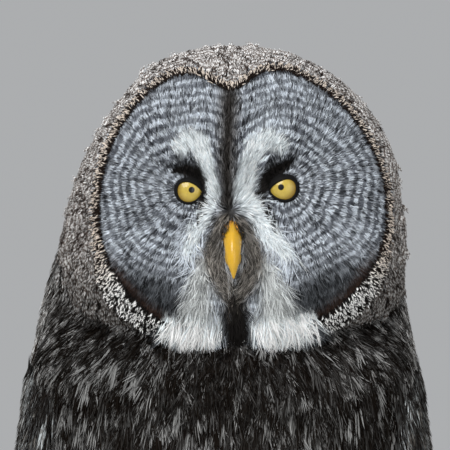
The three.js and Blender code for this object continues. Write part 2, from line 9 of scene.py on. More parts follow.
import bpy
import numpy as np
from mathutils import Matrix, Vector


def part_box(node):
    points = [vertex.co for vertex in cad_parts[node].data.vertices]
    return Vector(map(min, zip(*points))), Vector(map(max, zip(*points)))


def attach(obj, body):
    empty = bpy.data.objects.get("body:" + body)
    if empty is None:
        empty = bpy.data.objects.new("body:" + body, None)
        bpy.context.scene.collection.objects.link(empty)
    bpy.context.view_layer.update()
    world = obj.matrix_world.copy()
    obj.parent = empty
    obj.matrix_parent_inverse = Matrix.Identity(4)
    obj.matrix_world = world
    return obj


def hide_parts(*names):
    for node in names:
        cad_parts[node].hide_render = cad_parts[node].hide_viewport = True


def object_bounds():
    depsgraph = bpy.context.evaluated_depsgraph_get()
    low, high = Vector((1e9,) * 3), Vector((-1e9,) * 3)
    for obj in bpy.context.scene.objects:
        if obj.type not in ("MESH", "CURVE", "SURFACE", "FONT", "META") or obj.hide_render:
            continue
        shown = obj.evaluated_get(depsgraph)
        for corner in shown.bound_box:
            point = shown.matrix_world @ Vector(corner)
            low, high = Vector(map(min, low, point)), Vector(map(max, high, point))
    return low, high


bl_info = {
    "name": "Great grey owl",
    "version": (1, 0, 0),
    "blender": (4, 5, 0),
    "location": "View3D > Sidebar > Owl",
    "description": "Builds the skin, plumage, eyes, bill and claws of a standing great grey owl",
    "category": "Object",
}

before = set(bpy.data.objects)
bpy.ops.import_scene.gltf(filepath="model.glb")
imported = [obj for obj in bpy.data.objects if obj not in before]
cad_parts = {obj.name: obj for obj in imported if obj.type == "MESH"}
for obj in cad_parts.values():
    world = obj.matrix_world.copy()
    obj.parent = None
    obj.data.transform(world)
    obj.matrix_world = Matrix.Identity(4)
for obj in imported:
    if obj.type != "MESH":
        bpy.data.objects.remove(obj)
CAD_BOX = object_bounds()

MM = 0.001
DEG = math.pi / 180
SIDES = (("left", 1), ("right", -1))

# The owl's shape, as in the solids. Head sizes are in the head's own frame, centred below the eye line.
HEAD_CENTRE = np.array([5.0, -14.0, 473.0])
HEAD_ROLL = 1.5 * DEG
HEAD = dict(side=90.5, crown=92, chin=90, front=64, back=85, rim_power=2.6, face_power=2.2, back_power=2.05)
CHEEK_FLARE = dict(size=17, at=-31 * DEG, width=24 * DEG)
DISC = dict(left=85, right=74, crown=84, chin=71, notch=17, notch_width=12 * DEG, rim_rise=3, rim_width=0.06)
DISH = dict(depth=11, spread=30)
FACE_RIDGE = dict(height=10, width=9, low=(-62, -30), high=(25, 52))
CHEEK = dict(height=8, x=26, z=-56, spread=17)
# How much deeper than the solid head the coat is rooted, by the angle round the face in degrees.
SETTLE = [
    (-168, 1.8), (-161, 4), (-150, 3), (-90, 2.5), (-30, 4), (-20, 6), (-12, 4), (-4, 1.8), (3, 1.6),
    (15, -1.6), (31, -1.6), (60, 0), (90, 2), (115, 0.7), (132, 4.5), (145, 6), (157, 5.3), (165, 4.5),
    (172, 3.4), (180, 2.8),
]
SETTLE_BEHIND = 1.5
BILL_X = -0.7
EYE_RADIUS = 11
EYE_CENTRES = {"left": np.array([28, -43.5, 12]), "right": np.array([-23.5, -43.5, 12])}
GAZES = {"left": (-1.6, 0.7), "right": (1.2, 0.5)}  # how far each pupil lies from the middle, as (x, z)
# Outline of the lids' opening as (x towards the bill, z): flat above, round below, with a nasal corner.
LID_LINE = [
    (6.9, -0.9), (5.1, 1.2), (2.6, 3.3), (-0.8, 4.7), (-3.9, 4.5), (-5.9, 2.8), (-6.5, -0.2), (-5.7, -3.2),
    (-3.5, -5.4), (-0.4, -6.1), (2.6, -5.3), (5, -3.4),
]
# Share of the way from the opening to the outer edge, and radius from the eyeball's centre.
LID_PROFILE = [
    (0.0, 10.3), (0.0, 11.2), (0.08, 11.75), (0.2, 12.0), (0.36, 11.85), (0.55, 11.45), (0.8, 11.15),
    (1.0, 11.1), (1.05, 10.3),
]
LID_DOME = 11.7
LID_REACH = {"left": 0.9, "right": 0.0}
LID_EDGE = (7.7, 6.9)  # half width and half height of the lids' outer edge
# (y, z) up the middle of the body, with its half width, depth in front and depth behind.
BODY_LINE = [(134, 122), (121, 138), (92, 174), (54, 236), (22, 306), (4, 372), (-8, 428), (-14, 480)]
BODY_GIRTH = [
    (14, 14, 8), (50, 48, 26), (82, 78, 42), (97, 91, 58), (101, 96, 74), (106, 78, 82), (97, 42, 80),
    (80, 34, 72),
]
BODY_POWER = 2.15
COLLAR = dict(fill=12, at=0.775, width=0.055)
# (y, z) down the back, with the half width, depth and tilt in degrees of the folded wings round it.
MANTLE_LINE = [(-6, 392), (6, 338), (34, 274), (82, 200), (162, 124), (288, 52)]
MANTLE_GIRTH = [(103, 72, 10), (111, 87, 18), (110, 85, 27), (90, 64, 38), (56, 42, 50), (31, 16, 62)]
SHOULDER_DIP = dict(depth=5, at=0.12, width=0.2)
TAIL = dict(
    y=120, z=140, drop=26 * DEG, length=288, shorter=5, pairs=6, half=16, first=3, apart=4.4,
    splay=1.1 * DEG, roll=1.6 * DEG, step=1.9, sag=9)
TAIL_COVERTS = dict(count=14, length=96, shorter=26, start=10, fan=(20, 32), height=(9, 5), drop=4, half=9.0)
TAIL_PAD = [(-26, 30, 16), (-4, 32, 15), (20, 29, 9), (42, 23, 3)]  # place along, half width, half height
LEG_X = 44
THIGH_LINE = [(43, 181), (46, 150), (48.4, 125.2), (50.5, 103.5), (52.9, 78.7)]
THIGH_RADII = [22, 33, 33, 25, 15]
THIGH_DEPTH = 1.12
SHANK_LINE = [(51, 94), (49, 72), (40, 52), (27, 30), (22, 14)]
SHANK_RADII = [17, 17.5, 16, 15, 14]
# Each toe's turn outwards in degrees, length and radius, and its line from the foot's middle.
TOES = {"inner": (-20, 36, 9.5), "middle": (16, 41, 10), "outer": (100, 34, 9.5), "hind": (194, 27, 9.5)}
TOE_ROOT_Y = 18
TOE_HEIGHT = 0.84
TOE_DROP = 1.5
TOE_STATIONS = (-0.1, 0.3, 0.75, 1.02)
TOE_TAPER = (1, 1, 0.95, 0.45)
CLAW = dict(root=0.86, length=21, rise=7, radius=3.8, point=0.45, flat=0.85)
CLAW_ARC = [(-0.1, 0), (0.25, 0.75), (0.6, 0.85), (0.85, 0.3), (1, -0.55)]
# (y, z) along each half of the bill, and (share of the length, half width, half height).
UPPER_BILL = [(-44, -13), (-70, -8), (-86, -18), (-80.5, -36.2)]
UPPER_SIZES = [(0, 5.2, 8), (0.25, 5.3, 7.5), (0.48, 5, 6.3), (0.68, 4.3, 5), (0.86, 2.9, 3), (1, 0.5, 0.5)]
UPPER_KEEL = 0.3
LOWER_BILL = [(-44, -20), (-60, -21), (-71, -23.5), (-77.5, -31.5)]
LOWER_SIZES = [(0, 5.6, 5.6), (0.4, 5.2, 5.6), (0.75, 4.1, 4.4), (1, 1.6, 1.6)]

# Marks on the face, as strokes of (x, z, half width) in the head's frame.
WHITE_MARKS = {
    "right": [
        (-27.1, 36.9, 5), (-22.1, 40.1, 5.4), (-17.2, 36.7, 5.4), (-14.2, 27.8, 4.2), (-12.5, 18.9, 3.6),
        (-10.7, 11.7, 4.1), (-13.2, 3.5, 3.6), (-16.1, -3.5, 3.3), (-20.2, -10.6, 3.2), (-23.6, -17.5, 3),
    ],
    "left": [
        (27.3, 35.5, 4.2), (20.2, 39, 5.8), (13.5, 34.8, 5.8), (9.4, 26.6, 5), (8.1, 18.4, 5.2),
        (6.3, 11.3, 5.6), (8.9, 4.1, 5.6), (13.1, -2.6, 5.3), (16.7, -9.9, 4.8), (21.2, -16.6, 4),
        (26.2, -22, 3.2),
    ],
}
BLACK_MARKS = {
    "right": [
        (-33.5, 22.6, 0.8), (-29.4, 23.8, 2.6), (-24.6, 23.4, 4), (-20, 21.4, 4.4), (-17, 17.6, 3.2),
        (-15.9, 12, 1.9), (-16.3, 7, 1.4), (-17.7, 1.6, 1.2), (-19.9, -4, 0.8),
    ],
    "left": [
        (34.2, 27.4, 0.8), (29.2, 24.8, 2.6), (24.6, 22.2, 4), (20.4, 19.2, 4.6), (17.2, 15.2, 3.8),
        (16, 10.4, 2.6), (17, 4.6, 1.8), (18.9, -1, 1.3), (20.6, -6.4, 0.8),
    ],
}
STRIPE = [
    (-0.6, 62, 2.4), (-1.6, 45, 2.2), (-2.6, 28.6, 2.3), (-3, 14.8, 2), (-3.3, 3.8, 2), (-2.9, -2.5, 3.2),
]
SHADOW_WIDTH = 2.6  # of the mottled feathers beside the stripe, as a multiple of its own
LORES = {
    "right": [
        (-6, -5.5, 3.4), (-9.4, -14, 4.4), (-10.8, -23, 6), (-9.8, -31, 6), (-6.4, -39, 6), (-4, -45, 4.6),
    ],
    "left": [(4.6, -6, 3.4), (8.4, -15, 4.2), (10.2, -23, 5.6), (9.2, -31, 6), (6.4, -39, 6), (3, -45, 4.6)],
}
PALE_TUFTS = {
    "right": [(-17.3, -27.2, 4), (-19.8, -39.7, 6), (-20.6, -50.7, 7.6)],
    "left": [(16.2, -28, 4), (20.3, -40.8, 7), (21.7, -51.8, 8.6)],
}
MOUSTACHES = {
    "right": [(-36.3, -60.9, 5), (-28.1, -62.3, 7.4), (-17.2, -63.2, 7.6), (-12, -61.7, 5.5)],
    "left": [(12.6, -62.3, 5.5), (19.7, -63.6, 7.7), (30.7, -62.8, 7.2), (39.6, -60.8, 5)],
}
CHIN = [(-1.3, -44, 2.6), (-1, -50, 6.4), (-0.4, -56, 7), (0.4, -64, 7.2), (0.4, -76, 7.8)]
FACE_SOURCE = np.array([-2.4, 0.5])  # the point beside the bill that the white hairs spread from
CHIN_POINT = np.array([-1.2, -48.0])  # where the dark hairs beside the bill run together

# Tufts or feathers of each piece of the coat, on one side where it has two.
COUNTS = {
    "disc": 7500, "whiskers": 2700, "ruff": 11000, "crown": 5900, "neck_coat": 5200, "breast": 4100,
    "belly": 2500, "nape": 2400, "thigh": 1200, "shank": 1000, "toe": 270, "shoulder_barbs": 2600,
    "bill_bristles": 1000,
}
# Tint of the bars, as a share of the feather's own colour, and the share of its length that they cover.
BARS = {
    "disc": ((0.22, 0.22, 0.235), 0.5), "whisker": ((0.5, 0.5, 0.5), 0.5), "ruff": ((0.4, 0.35, 0.3), 0.5),
    "crown": ((0.2, 0.16, 0.14), 0.5), "body": ((0.2, 0.165, 0.15), 0.4), "leg": ((0.4, 0.34, 0.3), 0.5),
    "back": ((0.3, 0.26, 0.23), 0.5), "vane": ((0.3, 0.26, 0.23), 0.5),
}
# Size and place of the lamps, in metres.
LAMPS = {"key": (1.6, (-0.9, -1.7, 1.9)), "fill": (2.0, (1.3, -1.9, 0.55)), "back": (1.4, (0.5, 1.9, 1.7))}
LAMPS_AIM_ABOVE = 0.12  # height over the owl's middle
FLOOR_HALF = 12.0


def srgb(red, green, blue):
    """Linear colour of an 8-bit one: ((c/255 + 0.055) / 1.055)^2.4."""
    return tuple(((c / 255 + 0.055) / 1.055) ** 2.4 for c in (red, green, blue))


def length(name, default, about):
    """A length property, with its default given in millimetres."""
    return bpy.props.FloatProperty(
        name=name, description=about, default=default * MM, min=0, unit="LENGTH", precision=5)


def colour(name, red, green, blue, about):
    """A colour property, with its default given in 8-bit steps."""
    return bpy.props.FloatVectorProperty(
        name=name, description=about, default=srgb(red, green, blue), size=3, min=0, max=1, subtype="COLOR")


def share(name, default, about, most=10):
    """A plain factor."""
    return bpy.props.FloatProperty(
        name=name, description=about, default=default, min=0, max=most, subtype="FACTOR")


def power(name, default, about):
    """The power of a lamp, in watts."""
    return bpy.props.FloatProperty(name=name, description=about, default=default, min=0, unit="POWER")


class OwlSizes(bpy.types.PropertyGroup):
    """Lengths of feathers, and distances between their bars."""
    disc_feather: length("Disc feather", 8.5, "Length of a feather of the facial disc")
    disc_width: length("Disc feather width", 0.44, "Width of a feather of the facial disc")
    ring_spacing: length("Disc rings", 5.2, "Distance between the dark rings round each eye")
    brow_feather: length("Brow hair", 9, "Length of the white hairs over the eyes")
    whisker: length("Whisker", 15, "Length of the hairs that sweep down beside the bill")
    moustache_feather: length("Moustache hair", 15, "Length of the white hairs below the disc")
    rim_feather: length("Ruff feather", 3.3, "Length of the stiff feathers round the disc")
    crown_feather: length("Crown feather", 11, "Length of the feathers of crown and head sides")
    crown_bar: length("Crown bars", 3.2, "Distance between the bars on crown and head sides")
    breast_feather: length("Breast feather", 34, "Length of the loose feathers of the breast")
    leg_feather: length("Leg feather", 15, "Length of the feathers of thigh and shank")
    toe_feather: length("Toe feather", 7, "Length of the feathers of the toes")
    wing_bar: length("Wing bars", 13, "Distance between the bars of the wing feathers")
    tail_bar: length("Tail bars", 31, "Distance between the bars of the tail feathers")
    skin_grain: length("Skin mesh", 3.4, "Size of the faces of the skin")
    coat_depth: length("Coat depth", 3, "How deep the skin lies under the coat")
    fullness: share("Fullness", 1, "Share of the coat's feathers that are made", 1)


class OwlColours(bpy.types.PropertyGroup):
    """Colours of plumage, bare parts and stage."""
    disc_pale: colour("Disc, pale", 219, 227, 237, "Pale barbs of the facial disc")
    disc_dark: colour("Disc, dark", 50, 51, 54, "Dark barbs of the facial disc")
    white: colour("White", 240, 248, 252, "Brow, whiskers and moustache")
    black: colour("Black", 27, 25, 24, "Patches at the eyes and on the chin")
    stripe: colour("Brow stripe", 40, 36, 33, "Dark line between the brows")
    shadow: colour("Brow, mottled", 92, 86, 80, "Mottled feathers beside that line")
    lore: colour("Lores", 144, 137, 128, "Brown-grey hairs beside the bill")
    tuft: colour("Lower tufts", 222, 226, 226, "Pale grey hairs below the bill")
    chocolate: colour("Rim, inner", 58, 44, 38, "Brown band inside the lower rim of the disc")
    buff: colour("Rim, buff", 236, 222, 208, "Buff tips of the ruff")
    rim_dark: colour("Rim, dark", 36, 28, 24, "Dark parts of the ruff")
    rim_white: colour("Rim, white", 254, 254, 252, "White tips of the lower ruff")
    crown_pale: colour("Crown, pale", 250, 248, 246, "Pale parts of crown and head sides")
    crown_dark: colour("Crown, dark", 66, 57, 53, "Bars of crown and head sides")
    breast_pale: colour("Breast, pale", 160, 160, 159, "Pale hairs of neck and breast")
    # The breast's dark streaks, made near black as painted shade under the head.
    breast_dark_and_shade: colour("Breast, dark", 21, 16, 12, "Dark feathers of neck and breast")
    belly_pale: colour("Belly, pale", 200, 197, 190, "Pale feathers of the belly")
    belly_dark: colour("Belly, dark", 60, 51, 45, "Streaks of the belly")
    wing_ground: colour("Wing, ground", 126, 122, 117, "Ground colour of wings and back")
    wing_dark: colour("Wing, dark", 52, 44, 39, "Bars of wings, back and tail")
    wing_edge: colour("Wing, edge", 184, 183, 180, "Pale edges and spots of wing feathers")
    leg_pale: colour("Leg, pale", 214, 209, 200, "Feathers of legs and toes")
    leg_dark: colour("Leg, dark", 84, 74, 66, "Bars of legs and toes")
    iris: colour("Iris", 192, 167, 74, "Iris")
    iris_rim: colour("Iris rim", 146, 118, 44, "Outer part of the iris")
    pupil: colour("Pupil", 5, 6, 9, "Pupil")
    lid: colour("Eyelid", 14, 13, 13, "Bare rim of the eyelids")
    bill: colour("Bill", 212, 164, 32, "Bill")
    bill_base: colour("Bill base", 214, 160, 74, "Bill near its base")
    claw: colour("Claw", 38, 34, 32, "Claws")
    floor: colour("Floor", 216, 215, 211, "Studio floor")
    backdrop: colour("Backdrop", 216, 218, 220, "Air behind the owl")


class OwlStage(bpy.types.PropertyGroup):
    """The camera's view, and the light."""
    frame_width: length("Frame width", 247.5, "Width that the camera sees at the middle of the head")
    frame_x: length("Frame x", 0.55, "Middle of the camera's view, across")
    frame_z: length("Frame height", 465.75, "Middle of the camera's view, above the floor")
    distance: length("Camera distance", 6000, "From the camera to the middle of the head")
    key: power("Key light", 43, "Power of the key light")
    fill: power("Fill light", 13, "Power of the fill light")
    back: power("Back light", 14, "Power of the light from behind")
    air: share("Air light", 0.6, "Strength of the light from all round")


def sizes():
    """The OwlSizes group of the scene."""
    return bpy.context.scene.owl_sizes


def tint(name):
    """A colour of the OwlColours group as a numpy array."""
    return np.array(getattr(bpy.context.scene.owl_colours, name))


def paint(name, level=1.0):
    """The same with full opacity, for a shader."""
    return (*(tint(name) * level), 1)


def size_of(name):
    """A length of the OwlSizes group, in millimetres."""
    return getattr(sizes(), name) / MM


# Small functions of numbers and arrays.
def mix(a, b, t):
    """From a at t = 0 to b at t = 1: a + (b - a) t."""
    return a + (b - a) * t


def bell(u):
    """exp(-u^2)."""
    return np.exp(-u * u)


def ramp(a, b, x):
    """Smooth step from 0 at a to 1 at b: 3t^2 - 2t^3."""
    t = np.clip((x - a) / (b - a), 0, 1)
    return t * t * (3 - 2 * t)


def rounded(v, power):
    """Superellipse: sign(v) |v|^(2 / power)."""
    return np.sign(v) * np.abs(v) ** (2 / power)


def unit(v):
    """v over its length."""
    return v / np.maximum(np.linalg.norm(v, axis=-1, keepdims=True), 1e-9)


def column(values):
    """Values with one more axis at the end, to go with vectors."""
    return np.asarray(values)[..., None]


def stack(x, y, z):
    """Points of three coordinates that may differ in shape."""
    return np.stack(np.broadcast_arrays(x, y, z), axis=-1).astype(float)


def circle(steps):
    """Angles of a full turn, without its end."""
    return np.linspace(0, 2 * np.pi, steps, endpoint=False)


def smooth_line(points):
    """Curve through points, uniform Catmull-Rom: p = b + B w + (3c - 3b - 2B - C) w^2 +
    (2b - 2c + B + C) w^3, where B and C are half the steps between the neighbours of b and of c."""
    pts = np.asarray(points, float)
    ends = np.vstack([2 * pts[0] - pts[1], pts, 2 * pts[-1] - pts[-2]])
    last = len(pts) - 1

    def at(t):
        run = np.clip(t, 0, 1) * last
        i = np.minimum(np.floor(run).astype(int), last - 1)
        w = column(run - i)
        a, b, c, d = ends[i], ends[i + 1], ends[i + 2], ends[i + 3]
        into, out = (c - a) / 2, (d - b) / 2
        bend = (3 * c - 3 * b - 2 * into - out) * w ** 2
        return b + into * w + bend + (2 * b - 2 * c + into + out) * w ** 3

    return at


def heading(line, t, step=1e-3):
    """Unit direction of a curve, from a central difference."""
    return unit(line(t + step) - line(t - step))


def patches(x, y, z, scale, seed):
    """Soft random patches between 0 and 1, as a sum of sines of random direction and phase."""
    rng = np.random.default_rng(seed)
    total = 0
    for _ in range(6):
        way = unit(rng.normal(size=3)) * rng.uniform(0.7, 1.6) / scale
        total = total + np.sin(2 * np.pi * (x * way[0] + y * way[1] + z * way[2]) + rng.uniform(0, 6.3))
    return np.clip(0.5 + total / 6, 0, 1)


def stroke(x, z, points, edge=0.35):
    """How much of a painted stroke lies at (x, z): 1 inside its half width, fading over edge of it."""
    most = np.zeros(np.shape(x))
    pts = np.asarray(points, float)
    for (x0, z0, w0), (x1, z1, w1) in zip(pts[:-1], pts[1:]):
        run = np.array([x1 - x0, z1 - z0])
        t = np.clip(((x - x0) * run[0] + (z - z0) * run[1]) / (run @ run), 0, 1)
        away = np.hypot(x - x0 - t * run[0], z - z0 - t * run[1]) / mix(w0, w1, t)
        most = np.maximum(most, 1 - ramp(1 - edge, 1 + edge, away))
    return most


# The surfaces of head, body, wings, tail and legs.
def round_face(phi, side, top, bottom):
    """Radius by the angle round the face: side + (top or bottom - side) sin(phi)^2."""
    rise = np.sin(phi)
    return side + (np.where(rise > 0, top, bottom) - side) * rise ** 2


def head_outline(phi):
    """The outline of the head from the front, with a bulge at the cheeks."""
    up = np.arcsin(np.clip(np.sin(phi), -1, 1))
    flare = CHEEK_FLARE["size"] * bell((up - CHEEK_FLARE["at"]) / CHEEK_FLARE["width"])
    return round_face(phi, HEAD["side"], HEAD["crown"], HEAD["chin"]) + flare


def disc_rim(phi):
    """Radius of the disc's rim, with a notch at the brow."""
    side = np.where(np.cos(phi) > 0, DISC["left"], DISC["right"])
    from_top = np.arctan2(np.cos(phi), np.sin(phi))
    notch = DISC["notch"] * bell(from_top / DISC["notch_width"])
    return round_face(phi, side, DISC["crown"], DISC["chin"]) - notch


def settle(phi):
    """How much deeper than the solid head the coat is rooted, by the angle round the face."""
    return np.interp(phi / DEG, *np.array(SETTLE).T, period=360)


def face_depth(x, z):
    """y of the face: a dish round each eye, a ridge from brow to chin between them, and full cheeks below."""
    reach = np.minimum(1, np.hypot(x, z) / head_outline(np.arctan2(z, x)))
    y = -HEAD["front"] * (1 - reach ** HEAD["rim_power"]) ** (1 / HEAD["face_power"])
    for centre in EYE_CENTRES.values():
        y = y + DISH["depth"] * bell(np.hypot(x - centre[0], z - centre[2]) / DISH["spread"])
    brow_and_chin = ramp(*FACE_RIDGE["low"], z) * (1 - ramp(*FACE_RIDGE["high"], z))
    y = y - FACE_RIDGE["height"] * bell(x / FACE_RIDGE["width"]) * brow_and_chin
    for side in (-1, 1):
        y = y - CHEEK["height"] * bell(np.hypot(x - side * CHEEK["x"], z - CHEEK["z"]) / CHEEK["spread"])
    return y


def face_surface(x, z):
    """The face as points of the solids' own frame."""
    return from_head(stack(x, face_depth(x, z), z))


def lidded_face(x, z):
    """The face with the domes of the lids over the eyeballs, where its feathers are rooted."""
    y = face_depth(x, z)
    for centre in EYE_CENTRES.values():
        away = np.hypot(x - centre[0], z - centre[2])
        dome = centre[1] - np.sqrt(np.maximum(LID_DOME ** 2 - away ** 2, 0))
        y = np.where(away < LID_DOME, np.minimum(y, dome), y)
    return from_head(stack(x, y, z))


def head_surface(phi, u):
    """u runs from 0 to 1 over the face and from 1 to 2 from the disc's rim to the back of the head."""
    phi, u = np.broadcast_arrays(phi, u)
    rim, outline = disc_rim(phi), head_outline(phi)
    start = np.arcsin((rim / outline) ** (HEAD["rim_power"] / 2))
    swing = mix(start, np.pi, np.clip(u - 1, 0, 1))
    ahead = swing < np.pi / 2
    power = np.where(ahead, HEAD["rim_power"], HEAD["back_power"])
    reach = np.where(u <= 1, rim * u, outline * np.sin(swing) ** (2 / power))
    x, z = reach * np.cos(phi), reach * np.sin(phi)
    y = np.where(ahead, face_depth(x, z), -HEAD["back"] * rounded(np.cos(swing), HEAD["back_power"]))
    rise = np.where(ahead, DISC["rim_rise"] * bell((reach / rim - 1) / DISC["rim_width"]), 0)
    return from_head(stack(x, y - rise, z))


def settled_head(phi, u):
    """The head where its coat is rooted: moved inwards by SETTLE, and at the back by a fixed depth."""
    p = head_surface(phi, u)
    inward = unit(p - HEAD_CENTRE)
    depth = mix(settle(phi) * ramp(0.98, 1.12, u), SETTLE_BEHIND, ramp(1.5, 1.9, u))
    return p - inward * column(depth)


def from_head(p):
    """Turns points of the head's own frame by the roll and sets them on the body."""
    c, s = math.cos(HEAD_ROLL), math.sin(HEAD_ROLL)
    x, y, z = p[..., 0], p[..., 1], p[..., 2]
    return stack(x * c - z * s, y, x * s + z * c) + HEAD_CENTRE


def to_head(p):
    """The way back, from the body into the head's own frame."""
    c, s = math.cos(HEAD_ROLL), math.sin(HEAD_ROLL)
    d = p - HEAD_CENTRE
    return stack(d[..., 0] * c + d[..., 2] * s, d[..., 1], -d[..., 0] * s + d[..., 2] * c)


body_line = smooth_line(BODY_LINE)
body_girth = smooth_line(BODY_GIRTH)
mantle_line = smooth_line(MANTLE_LINE)
mantle_girth = smooth_line(MANTLE_GIRTH)


def body_surface(t, turn, grow=0.0):
    """Superellipses across the body's line: t runs up from the vent, turn is 90 degrees in front."""
    t, turn = np.broadcast_arrays(t, turn)
    girth, line, way = body_girth(t), body_line(t), heading(body_line, t)
    deep = np.where(np.sin(turn) > 0, girth[..., 1], girth[..., 2]) + grow
    ahead = deep * rounded(np.sin(turn), BODY_POWER)
    wide = (girth[..., 0] + grow) * rounded(np.cos(turn), BODY_POWER)
    return stack(wide, line[..., 0] - way[..., 1] * ahead, line[..., 1] + way[..., 0] * ahead)


def collar(t, turn):
    """Fills the fold below the chin."""
    return COLLAR["fill"] * bell((t - COLLAR["at"]) / COLLAR["width"]) * ramp(0.1, 0.7, np.sin(turn))


def plump_body(t, turn, grow=0.0):
    """The body with that fold filled."""
    return body_surface(t, turn, grow + collar(t, turn))


def mantle_surface(side, s, turn, h=0.0):
    """Half ellipses of the back: s runs from shoulder to wing tips, turn is 90 at the middle of the back."""
    s, turn, h = np.broadcast_arrays(s, turn, h)
    dip = SHOULDER_DIP["depth"] * bell((s - SHOULDER_DIP["at"]) / SHOULDER_DIP["width"])
    girth, line = mantle_girth(s) - column(dip) * [1, 0, 0], mantle_line(s)
    tilt, angle = girth[..., 2] * DEG, turn * DEG
    across, deep = girth[..., 0] * np.cos(angle), girth[..., 1] * np.sin(angle)
    out_x, out_b = np.cos(angle) * girth[..., 1], np.sin(angle) * girth[..., 0]
    size = np.hypot(out_x, out_b)
    x = side * (across + h * out_x / size)
    back = deep + h * out_b / size
    return stack(x, line[..., 0] + back * np.cos(tilt), line[..., 1] + back * np.sin(tilt))


TAIL_ALONG = np.array([0, math.cos(TAIL["drop"]), -math.sin(TAIL["drop"])])
TAIL_UP = np.array([0, math.sin(TAIL["drop"]), math.cos(TAIL["drop"])])
TAIL_ROOT = np.array([0, TAIL["y"], TAIL["z"]])


def tail_surface(side, order, t, across, lift=0.0):
    """Feather number order from the middle, t along it and across it in millimetres."""
    side, order, t, across, lift = np.broadcast_arrays(side, order, t, across, lift)
    splay, roll = side * TAIL["splay"] * (order + 0.5), side * TAIL["roll"] * (order + 0.5)
    run = (TAIL["length"] - TAIL["shorter"] * order) * t
    wide = side * (TAIL["first"] + TAIL["apart"] * order) + run * np.sin(splay) + across * np.cos(roll)
    layer = order + np.where(side < 0, 0.5, 0)
    high = -TAIL["step"] * layer - across * np.sin(roll) - TAIL["sag"] * t * (1 - t) + lift
    return tail_point(wide, run * np.cos(splay), high)


def tail_point(wide, run, high):
    """A place from the tail's root: wide across, run along it and high over it."""
    return TAIL_ROOT + stack(wide, 0, 0) + column(run) * TAIL_ALONG + column(high) * TAIL_UP


def tube_surface(line, radii, stretch=1.0):
    """Tube round a curve of (x, y, z): p = line + r (e1 cos + e2 sin). stretch widens it along e2."""
    curve, girth = smooth_line(line), smooth_line(column(radii))

    def at(t, angle, grow=0.0):
        t, angle = np.broadcast_arrays(t, angle)
        way = heading(curve, t)
        aside = np.where(column(np.abs(way[..., 0]) > 0.9), np.array([0.0, 1, 0]), np.array([1.0, 0, 0]))
        e1 = unit(aside - way * np.sum(aside * way, axis=-1, keepdims=True))
        e2 = np.cross(way, e1)
        r = girth(t) + grow
        return curve(t) + r * (e1 * column(np.cos(angle)) + stretch * e2 * column(np.sin(angle)))

    return at


def on_leg(line, side):
    """Points of one leg from their (y, z)."""
    return [(side * LEG_X, y, z) for y, z in line]


def on_toe(toe, k):
    """A point of a left toe's middle line, at the share k of its length."""
    turn, long, radius = toe
    run = long * k
    return (LEG_X + run * math.sin(turn * DEG), TOE_ROOT_Y - run * math.cos(turn * DEG),
            TOE_HEIGHT * radius - TOE_DROP * k)


def toe_line(side, toe):
    """The middle line of a toe of either foot."""
    return [(side * x, y, z) for x, y, z in (on_toe(toe, k) for k in TOE_STATIONS)]


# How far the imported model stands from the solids' own frame, from the box of the left eye.
SHIFT = np.mean(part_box("eye_left"), axis=0) / MM - from_head(EYE_CENTRES["left"])


def to_row(p):
    """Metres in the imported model's frame."""
    return (p + SHIFT) * MM


# Roots, paths and blades of the coat.
PATCH = 0.003  # width of a blade on the bake map
CELLS = 220  # of the grid that roots are spread over, each way


def scatter(surface, a_range, b_range, count, seed, weight=None):
    """Roots (a, b) spread evenly over a surface. A cell holds them in step with |dp/da x dp/db| times
    weight."""
    rng = np.random.default_rng(seed)
    a_edge, b_edge = np.linspace(*a_range, CELLS + 1), np.linspace(*b_range, CELLS + 1)
    p = surface(*np.meshgrid(a_edge, b_edge, indexing="ij"))
    area = np.linalg.norm(np.cross(p[1:, :-1] - p[:-1, :-1], p[:-1, 1:] - p[:-1, :-1]), axis=-1)
    a_mid, b_mid = np.meshgrid((a_edge[1:] + a_edge[:-1]) / 2, (b_edge[1:] + b_edge[:-1]) / 2, indexing="ij")
    if weight is not None:
        area = area * weight(a_mid, b_mid)
    count = int(count * sizes().fullness)
    total = np.cumsum(area.ravel())
    cell = np.searchsorted(total, (np.arange(count) + rng.random(count)) / count * total[-1])
    i, j = np.divmod(np.minimum(cell, CELLS * CELLS - 1), CELLS)
    a = a_edge[i] + rng.random(count) * (a_edge[1] - a_edge[0])
    b = b_edge[j] + rng.random(count) * (b_edge[1] - b_edge[0])
    return a, b


def tangents(surface, a, b, near, outward):
    """Points of a surface with dp/da, dp/db and the outward normal there."""
    p = surface(a, b)
    pa, pb = (surface(a + near[0], b) - p) / near[0], (surface(a, b + near[1]) - p) / near[1]
    return p, pa, pb, outward * unit(np.cross(pa, pb))


def moved(a, b, pa, pb, move):
    """(a, b) after a small move in the tangent plane, by the least-squares fit of dp/da and dp/db to it."""
    aa, ab, bb = np.sum(pa * pa, -1), np.sum(pa * pb, -1), np.sum(pb * pb, -1)
    fa, fb, det = np.sum(move * pa, -1), np.sum(move * pb, -1), aa * bb - ab * ab + 1e-9
    return a + (fa * bb - fb * ab) / det, b + (fb * aa - fa * ab) / det


def flow_at(flow, p, a, b, normal):
    """The flow's unit direction in the tangent plane."""
    f = flow(p, a, b)
    return unit(f - normal * np.sum(f * normal, axis=-1, keepdims=True))


def comb(surface, a, b, flow, reach, stations, near, outward=1, swing=0.0, curl=0.0):
    """Walks from each root over the surface along the flow, turned by swing + curl i at step i."""
    path, normals = [], []
    step = column(reach / (stations - 1) + np.zeros(len(a)))
    for i in range(stations):
        p, pa, pb, n = tangents(surface, a, b, near, outward)
        f = flow_at(flow, p, a, b, n)
        turn = column(swing + curl * i + np.zeros(len(a)))
        path.append(p)
        normals.append(n)
        a, b = moved(a, b, pa, pb, step * (f * np.cos(turn) + np.cross(n, f) * np.sin(turn)))
    return np.stack(path, 1), np.stack(normals, 1)


